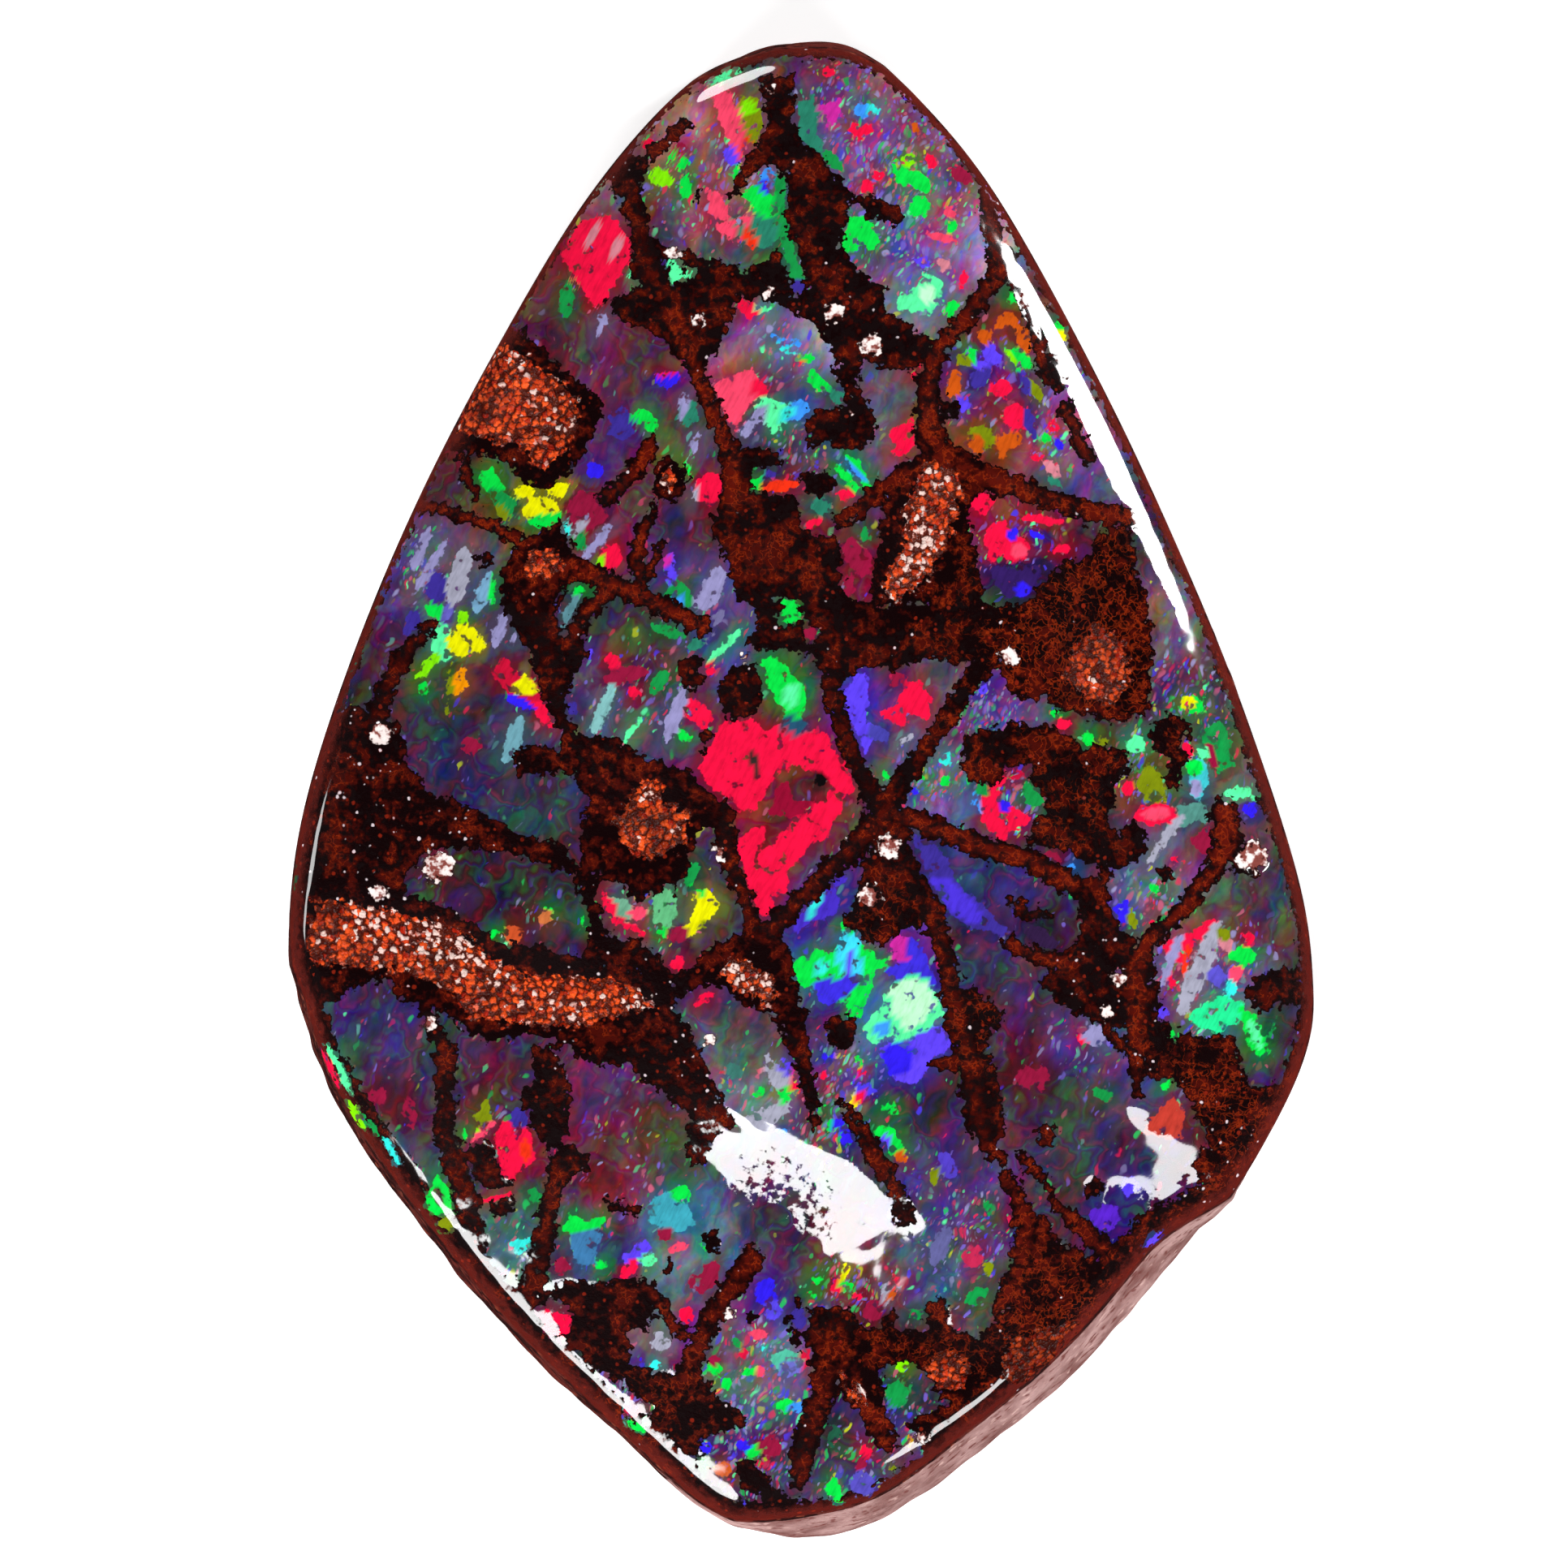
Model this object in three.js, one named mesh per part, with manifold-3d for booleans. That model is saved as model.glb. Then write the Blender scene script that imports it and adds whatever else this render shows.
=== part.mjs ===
// A polished freeform boulder opal: one stone of ironstone laced with precious opal.
// It lies on its flat ground back, with the polished face up and the narrow end towards +Y.
// Units are millimetres. The origin is the middle of the stone's box, on the back.
import * as THREE from "three";
import { ImprovedNoise } from "three/addons/math/ImprovedNoise.js";
import { mergeVertices } from "three/addons/utils/BufferGeometryUtils.js";
import Module from "manifold-3d";

const wasm = await Module();
wasm.setup();

// How high the stone stands
const WALL_HEIGHT = 2.6; // from the back to the edge of the polished face
const DOME_RISE = 1.3; // from the rolled edge to the middle of the face
const DOME_FULLNESS = 2.4; // over 2 keeps the middle of the face flatter than a round dome

// The widest outline as seen from above, going round anticlockwise from the narrow end
const OUTLINE = [
  [0.0, 14.0],
  [-1.0, 13.8],
  [-2.4, 12.9],
  [-4.05, 10.95],
  [-5.7, 8.2],
  [-7.1, 5.5],
  [-8.25, 2.8],
  [-9.15, 0.1],
  [-9.5, -1.9],
  [-9.45, -3.55],
  [-8.9, -5.35],
  [-7.8, -7.15],
  [-5.65, -9.85],
  [-2.85, -12.55],
  [-1.5, -13.6],
  [0.0, -14.0],
  [1.45, -13.7],
  [3.15, -12.55],
  [5.3, -10.75],
  [7.6, -8.05],
  [8.75, -6.25],
  [9.4, -4.75],
  [9.5, -3.5],
  [9.25, -1.7],
  [8.4, 1.0],
  [7.35, 3.7],
  [5.7, 7.3],
  [3.7, 10.95],
  [2.15, 12.9],
  [1.0, 13.8],
];
const MIDDLE = [0.0, -0.5]; // the point that the outline's angles are counted from

// The side wall leans. Where it leans out, the back is wider than the polished face.
const WALL_LEANS = [
  { name: "lower right flank", from: -103, to: -36, fade: 16, lean: 0.6 },
  { name: "narrow end", from: 76, to: 106, fade: 14, lean: 0.16 },
  { name: "lower left flank", from: -172, to: -80, fade: 14, lean: 0.14 },
];
const WALL_TUCK = 0.22; // how far the back is tucked in where the wall doesn't lean out
const WALL_SWELL = 0.06; // how full the wall is at half height
const WALL_LUMPS = 0.07; // how far the coarse grinding's lumps stand out
const BACK_BEVEL = 0.22; // the back's edge is broken by this much

// The face's edge is rolled over by one drop all round, broadly on the right and tightly on the left
const EDGE_ROLL = { drop: 0.55, broad: 1.15, tight: 0.5, broadSide: 20 };

// Swells and hollows of the face: middle, half sizes along and across, turn in degrees, rise
const FACE_FORMS = [
  { name: "rough band hollow", at: [-6.1, -3.35], size: [3.1, 0.6], turn: -17, rise: -0.28 },
  { name: "left rust hollow", at: [-5.1, 7.0], size: [1.1, 1.0], turn: 40, rise: -0.22 },
  { name: "middle rust hollow", at: [2.25, 5.0], size: [1.35, 0.55], turn: 68, rise: -0.24 },
  { name: "right rust hollow", at: [5.7, 3.1], size: [1.9, 0.9], turn: 90, rise: -0.18 },
  { name: "left middle hollow", at: [-3.0, -0.6], size: [1.1, 0.8], turn: 10, rise: -0.16 },
  { name: "lower ridge", at: [2.6, -7.5], size: [4.2, 1.2], turn: -34, rise: 0.38 },
  { name: "lower trough", at: [1.3, -9.6], size: [4.0, 1.2], turn: -34, rise: -0.42 },
  { name: "corner swell", at: [5.85, -5.6], size: [1.4, 1.3], turn: 22, rise: 0.36 },
  { name: "upper left swell", at: [-3.3, 3.4], size: [2.6, 2.0], turn: 60, rise: 0.2 },
  { name: "narrow end saddle", at: [0.4, 8.4], size: [2.6, 1.2], turn: -15, rise: -0.14 },
];

// How finely the skin is divided: sectors all round, then rows from the middle of the face outwards
// and rows down the wall
const SECTORS = 160;
const FACE_ROWS = 20;
const WALL_ROWS = 7;
const EDGE_CROWDING = 0.65; // the face's rows lie closer together near the rim
const OUTLINE_STEPS = 720;
const SAWN_OFF = 0.6; // the depth of stone below the back that the flat cut takes off

const degrees = THREE.MathUtils.degToRad;
const smooth = THREE.MathUtils.smoothstep;
const grain = new ImprovedNoise();

// The outline's reach from the middle, at every half degree
const outlineCurve = new THREE.CatmullRomCurve3(
  OUTLINE.map(([x, y]) => new THREE.Vector3(x, y, 0)),
  true,
  "catmullrom",
  0.5,
);
const outlinePoints = outlineCurve
  .getPoints(OUTLINE_STEPS)
  .slice(0, OUTLINE_STEPS)
  .map((p) => {
    const x = p.x - MIDDLE[0];
    const y = p.y - MIDDLE[1];
    return { angle: Math.atan2(y, x), reach: Math.hypot(x, y) };
  })
  .sort((a, b) => a.angle - b.angle);

function outlineReach(angle) {
  const next = outlinePoints.findIndex((p) => p.angle >= angle);
  const after = outlinePoints[next < 0 ? 0 : next];
  const before = outlinePoints[(next < 0 ? outlinePoints.length : next) - 1] ?? outlinePoints.at(-1);
  const turn = 2 * Math.PI;
  const gap = (after.angle - before.angle + turn) % turn;
  const share = gap > 0 ? ((angle - before.angle + turn) % turn) / gap : 0;
  return THREE.MathUtils.lerp(before.reach, after.reach, share);
}

// How far the wall leans out at an angle: over 0 where the back is the wider, below 0 where the rim is
function wallLean(angle) {
  const at = THREE.MathUtils.radToDeg(angle);
  let lean = -WALL_TUCK;
  for (const flank of WALL_LEANS) {
    const share = smooth(at, flank.from, flank.from + flank.fade) * (1 - smooth(at, flank.to - flank.fade, flank.to));
    lean = Math.max(lean, THREE.MathUtils.lerp(-WALL_TUCK, flank.lean, share));
  }
  return lean;
}

const rimReach = (angle) => outlineReach(angle) - Math.max(wallLean(angle), 0);
const backReach = (angle) => outlineReach(angle) + Math.min(wallLean(angle), 0);

// The rim as short straights, for the distance from it
const rimPoints = Array.from({ length: OUTLINE_STEPS }, (_, i) => {
  const angle = (i / OUTLINE_STEPS) * 2 * Math.PI - Math.PI;
  return new THREE.Vector3(
    MIDDLE[0] + rimReach(angle) * Math.cos(angle),
    MIDDLE[1] + rimReach(angle) * Math.sin(angle),
    0,
  );
});
const rimStraights = rimPoints.map((p, i) => new THREE.Line3(p, rimPoints[(i + 1) % OUTLINE_STEPS]));

function distanceFromRim(x, y) {
  const here = new THREE.Vector3(x, y, 0);
  const nearest = new THREE.Vector3();
  let least = Infinity;
  for (const straight of rimStraights) {
    straight.closestPointToPoint(here, true, nearest);
    least = Math.min(least, nearest.distanceTo(here));
  }
  return least;
}

// The height of the polished face above the back. ring is 0 in the middle and 1 at the rim.
function faceHeight(x, y, ring, angle) {
  const inward = distanceFromRim(x, y);
  const broadness = (0.5 + 0.5 * Math.cos(angle - degrees(EDGE_ROLL.broadSide))) ** 2;
  const width = THREE.MathUtils.lerp(EDGE_ROLL.tight, EDGE_ROLL.broad, broadness);
  const rolled = EDGE_ROLL.drop * Math.sqrt(1 - (1 - Math.min(inward / width, 1)) ** 2);
  const domed = DOME_RISE * (1 - ring ** DOME_FULLNESS);
  const calm = smooth(inward, 0, 2 * width); // the rim itself keeps its line
  let forms = 0;
  for (const { at, size, turn, rise } of FACE_FORMS) {
    const [dx, dy] = [x - at[0], y - at[1]];
    const [c, s] = [Math.cos(degrees(turn)), Math.sin(degrees(turn))];
    forms += rise * Math.exp(-(((dx * c + dy * s) / size[0]) ** 2) - ((dy * c - dx * s) / size[1]) ** 2);
  }
  return WALL_HEIGHT + rolled + domed + calm * forms;
}

// The wall's coarse grinding: uneven low lumps, none at the rim, and the broken edge of the back
function wallRelief(angle, height) {
  const [x, y] = [9 * Math.cos(angle), 9 * Math.sin(angle)];
  const lumps = grain.noise(0.9 * x, 0.9 * y, 1.6 * height) + 0.5 * grain.noise(2.3 * x, 2.3 * y, 2.9 * height);
  const bevel = BACK_BEVEL * (1 - smooth(height, 0, 0.4));
  return WALL_LUMPS * lumps * smooth(WALL_HEIGHT - height, 0, 1) - bevel;
}

function facePoint(angle, row) {
  const share = row / FACE_ROWS;
  const ring = share * (1 + EDGE_CROWDING * (1 - share));
  const x = MIDDLE[0] + ring * rimReach(angle) * Math.cos(angle);
  const y = MIDDLE[1] + ring * rimReach(angle) * Math.sin(angle);
  return [x, y, faceHeight(x, y, ring, angle)];
}

function wallPoint(angle, row) {
  const height = THREE.MathUtils.lerp(WALL_HEIGHT, -SAWN_OFF, row / WALL_ROWS);
  const level = Math.max(height / WALL_HEIGHT, 0);
  const straight = THREE.MathUtils.lerp(backReach(angle), rimReach(angle), level);
  const reach = straight + WALL_SWELL * Math.sin(Math.PI * level) + wallRelief(angle, height);
  return [MIDDLE[0] + reach * Math.cos(angle), MIDDLE[1] + reach * Math.sin(angle), height];
}

function toSolid(geometry) {
  geometry.deleteAttribute("normal");
  geometry.deleteAttribute("uv");
  const merged = mergeVertices(geometry, 1e-5);
  return new wasm.Manifold(
    new wasm.Mesh({
      numProp: 3,
      vertProperties: merged.attributes.position.array,
      triVerts: new Uint32Array(merged.index.array),
    }),
  );
}

function toGeometry(solid) {
  const made = solid.getMesh();
  const geometry = new THREE.BufferGeometry();
  geometry.setAttribute("position", new THREE.BufferAttribute(made.vertProperties, 3));
  geometry.setIndex(new THREE.BufferAttribute(made.triVerts, 1));
  geometry.computeVertexNormals();
  return geometry;
}

// The stone's whole skin: a ball whose rows are moved to the face, the wall and the foot below the back
function stoneSkin() {
  const rows = FACE_ROWS + WALL_ROWS + 1;
  const ball = new THREE.SphereGeometry(1, SECTORS, rows);
  const { position, uv } = ball.attributes;
  for (let i = 0; i < position.count; i++) {
    const row = Math.round((1 - uv.getY(i)) * rows);
    const angle = Math.PI * (2 * (i % (SECTORS + 1)) / SECTORS - 1);
    if (row <= FACE_ROWS) position.setXYZ(i, ...facePoint(angle, row));
    else if (row < rows) position.setXYZ(i, ...wallPoint(angle, row - FACE_ROWS));
    else position.setXYZ(i, ...MIDDLE, -SAWN_OFF);
  }
  return ball;
}

// The flat ground back: what lies below height 0 is cut away
function backCut() {
  const depth = 4 * SAWN_OFF;
  return new THREE.BoxGeometry(40, 40, depth).translate(0, 0, -depth / 2);
}

// The finished stone, with the middle of its box over the origin
function boulder() {
  const ground = toSolid(stoneSkin()).subtract(toSolid(backCut()));
  const { min, max } = ground.boundingBox();
  return ground.translate([-(min[0] + max[0]) / 2, -(min[1] + max[1]) / 2, -min[2]]);
}

const ironstoneAndOpal = new THREE.MeshStandardMaterial({ color: 0x3a1a16, roughness: 0.25, metalness: 0 });

const boulderOpal = new THREE.Mesh(toGeometry(boulder()), ironstoneAndOpal);
boulderOpal.name = "boulder_opal";

const part = new THREE.Group();
part.add(boulderOpal);

export default part;
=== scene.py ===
import math

import bmesh
import bpy
import numpy as np
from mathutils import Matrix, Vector, noise


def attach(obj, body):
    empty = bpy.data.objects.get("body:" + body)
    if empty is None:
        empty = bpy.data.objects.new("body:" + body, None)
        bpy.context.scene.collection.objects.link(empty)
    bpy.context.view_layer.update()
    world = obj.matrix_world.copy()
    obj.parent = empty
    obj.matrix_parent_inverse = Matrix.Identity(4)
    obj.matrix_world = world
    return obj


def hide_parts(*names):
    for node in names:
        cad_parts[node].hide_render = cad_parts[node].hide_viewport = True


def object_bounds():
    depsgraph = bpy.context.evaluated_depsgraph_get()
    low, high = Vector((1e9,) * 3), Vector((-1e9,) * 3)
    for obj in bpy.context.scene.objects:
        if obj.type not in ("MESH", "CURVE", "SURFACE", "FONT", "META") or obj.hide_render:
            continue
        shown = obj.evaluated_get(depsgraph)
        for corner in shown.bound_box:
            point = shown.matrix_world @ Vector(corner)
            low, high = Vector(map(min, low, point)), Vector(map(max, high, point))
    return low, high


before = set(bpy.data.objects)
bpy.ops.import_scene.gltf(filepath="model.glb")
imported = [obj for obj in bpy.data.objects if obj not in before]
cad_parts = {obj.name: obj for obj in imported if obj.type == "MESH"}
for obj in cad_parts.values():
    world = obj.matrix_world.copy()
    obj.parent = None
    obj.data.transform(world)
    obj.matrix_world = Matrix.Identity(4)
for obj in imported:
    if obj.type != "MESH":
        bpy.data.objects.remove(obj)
cad_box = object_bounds()

MM = 0.001

# The stone's shape, in millimetres, by the same named values as the part's source
WALL_HEIGHT = 2.6  # from the back to the edge of the polished face
DOME_RISE = 1.3  # from the rolled edge to the middle of the face
DOME_FULLNESS = 2.4  # over 2 keeps the middle of the face flatter than a round dome
MIDDLE = (0.0, -0.5)  # the point that the outline's angles are counted from
WALL_TUCK = 0.22  # how far the back is tucked in where the wall doesn't lean out
WALL_SWELL = 0.06  # how full the wall is at half height
WALL_LUMPS = 0.07  # how far the coarse grinding's lumps stand out
WALL_PITS = 0.035  # how far its finer grain does
WALL_CALM = 1.0  # the grinding's relief grows to its full size over this much height below the rim
BACK_BEVEL = 0.22  # the back's edge is broken by this much
BEVEL_HEIGHT = 0.4
EDGE_DROP = 0.55  # the face's edge is rolled over by this much
EDGE_BROAD = 1.15  # the rolled edge's width on its broad side
EDGE_TIGHT = 0.5  # its width opposite that side
EDGE_BROAD_SIDE = 20  # degrees

# The widest outline as seen from above, going round anticlockwise from the narrow end
OUTLINE = [
    (0.0, 14.0), (-1.0, 13.8), (-2.4, 12.9), (-4.05, 10.95), (-5.7, 8.2), (-7.1, 5.5), (-8.25, 2.8),
    (-9.15, 0.1), (-9.5, -1.9), (-9.45, -3.55), (-8.9, -5.35), (-7.8, -7.15), (-5.65, -9.85),
    (-2.85, -12.55), (-1.5, -13.6), (0.0, -14.0), (1.45, -13.7), (3.15, -12.55), (5.3, -10.75),
    (7.6, -8.05), (8.75, -6.25), (9.4, -4.75), (9.5, -3.5), (9.25, -1.7), (8.4, 1.0), (7.35, 3.7),
    (5.7, 7.3), (3.7, 10.95), (2.15, 12.9), (1.0, 13.8)
]

# Where the side wall leans out below the face: from and to in degrees, fade, lean
WALL_LEANS = {
    "lower right flank": (-103, -36, 16, 0.6),
    "narrow end": (76, 106, 14, 0.16),
    "lower left flank": (-172, -80, 14, 0.14),
}

# Swells and hollows of the face: middle, half sizes along and across, turn in degrees, rise
FACE_FORMS = {
    "rough band hollow": ((-6.1, -3.35), (3.1, 0.6), -17, -0.28),
    "left rust hollow": ((-5.1, 7.0), (1.1, 1.0), 40, -0.22),
    "middle rust hollow": ((2.25, 5.0), (1.35, 0.55), 68, -0.24),
    "right rust hollow": ((5.7, 3.1), (1.9, 0.9), 90, -0.18),
    "left middle hollow": ((-3.0, -0.6), (1.1, 0.8), 10, -0.16),
    "lower ridge": ((2.6, -7.5), (4.2, 1.2), -34, 0.38),
    "lower trough": ((1.3, -9.6), (4.0, 1.2), -34, -0.42),
    "corner swell": ((5.85, -5.6), (1.4, 1.3), 22, 0.36),
    "upper left swell": ((-3.3, 3.4), (2.6, 2.0), 60, 0.2),
    "narrow end saddle": ((0.4, 8.4), (2.6, 1.2), -15, -0.14),
}

# How finely the skin is divided
FACE_ACROSS = 230
FACE_ALONG = 330
WALL_ROWS = 14
EDGE_CROWDING = 0.3
GRID_TURN = -0.14  # keeps the grid's corners off the notch in the outline
OUTLINE_STEPS = 24  # to each point of the outline
RIM_STEPS = 720
KEPT_INSIDE = 0.9995  # the stone fills at most this share of the frame's box

# The face's fine relief: how deep each ground lies below the polished opal, and how uneven it is
STONE_DEPTH = 0.006
SAND_DEPTH = 0.02
NODULE_DEPTH = 0.04
POLISH_RIPPLE = 0.003
STONE_RIPPLE = 0.004  # on top of the polish's
SAND_RIPPLE = 0.035
CRINKLE = 0.009  # where the polish is uneven
FACE_CALM = 0.6  # the relief grows to its full size over this far from the rim

# Random relief: the size of its lumps in millimetres, and its seed
POLISH_LUMPS = (0.33, 3)
SAND_LUMPS = (0.36, 8)
CRINKLE_LUMPS = (0.24, 19)
WALL_COARSE_LUMPS = (1.1, 5)
WALL_FINE_LUMPS = (0.4, 11)
WALL_RING = 9.0  # the wall's relief is taken along a ring of this radius

# The pink ground flank, in degrees round the stone: from none of it to all of it, and back
PINK_STARTS = (-114, -88)
PINK_ENDS = (-40, -14)

# The camera looks straight down, and the pattern is placed in the photograph's own pixels
PHOTO_SIDE = 1932
PHOTO_MIDDLE = PHOTO_SIDE / 2
MM_PER_PIXEL = 28.0 / 1859
STONE_IN_PHOTO = (988.0, 975.5)
CAMERA_HEIGHT = 300.0  # above the back
CAMERA_OVER = (
    (PHOTO_MIDDLE - STONE_IN_PHOTO[0]) * MM_PER_PIXEL,
    (STONE_IN_PHOTO[1] - PHOTO_MIDDLE) * MM_PER_PIXEL,
)

# Opal colours, 0 to 255
CRIMSON = (245, 15, 65)
ROSE = (250, 70, 105)
WINE = (150, 20, 60)
MAGENTA = (205, 40, 160)
SCARLET = (245, 50, 20)
ORANGE = (205, 85, 15)
YELLOW = (240, 238, 0)
OLIVE = (125, 140, 10)
LIME = (130, 235, 5)
GREEN = (5, 225, 70)
LEAF = (20, 150, 70)
TEAL = (40, 130, 105)
MINT = (90, 250, 165)
PALE_MINT = (190, 255, 205)
CYAN = (50, 235, 225)
SKY = (60, 150, 250)
BLUE = (50, 30, 240)
VIOLET = (95, 65, 245)
INDIGO = (60, 45, 150)
LILAC = (150, 145, 195)
PEARL = (165, 165, 185)
BLUSH = (215, 130, 145)

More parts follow.
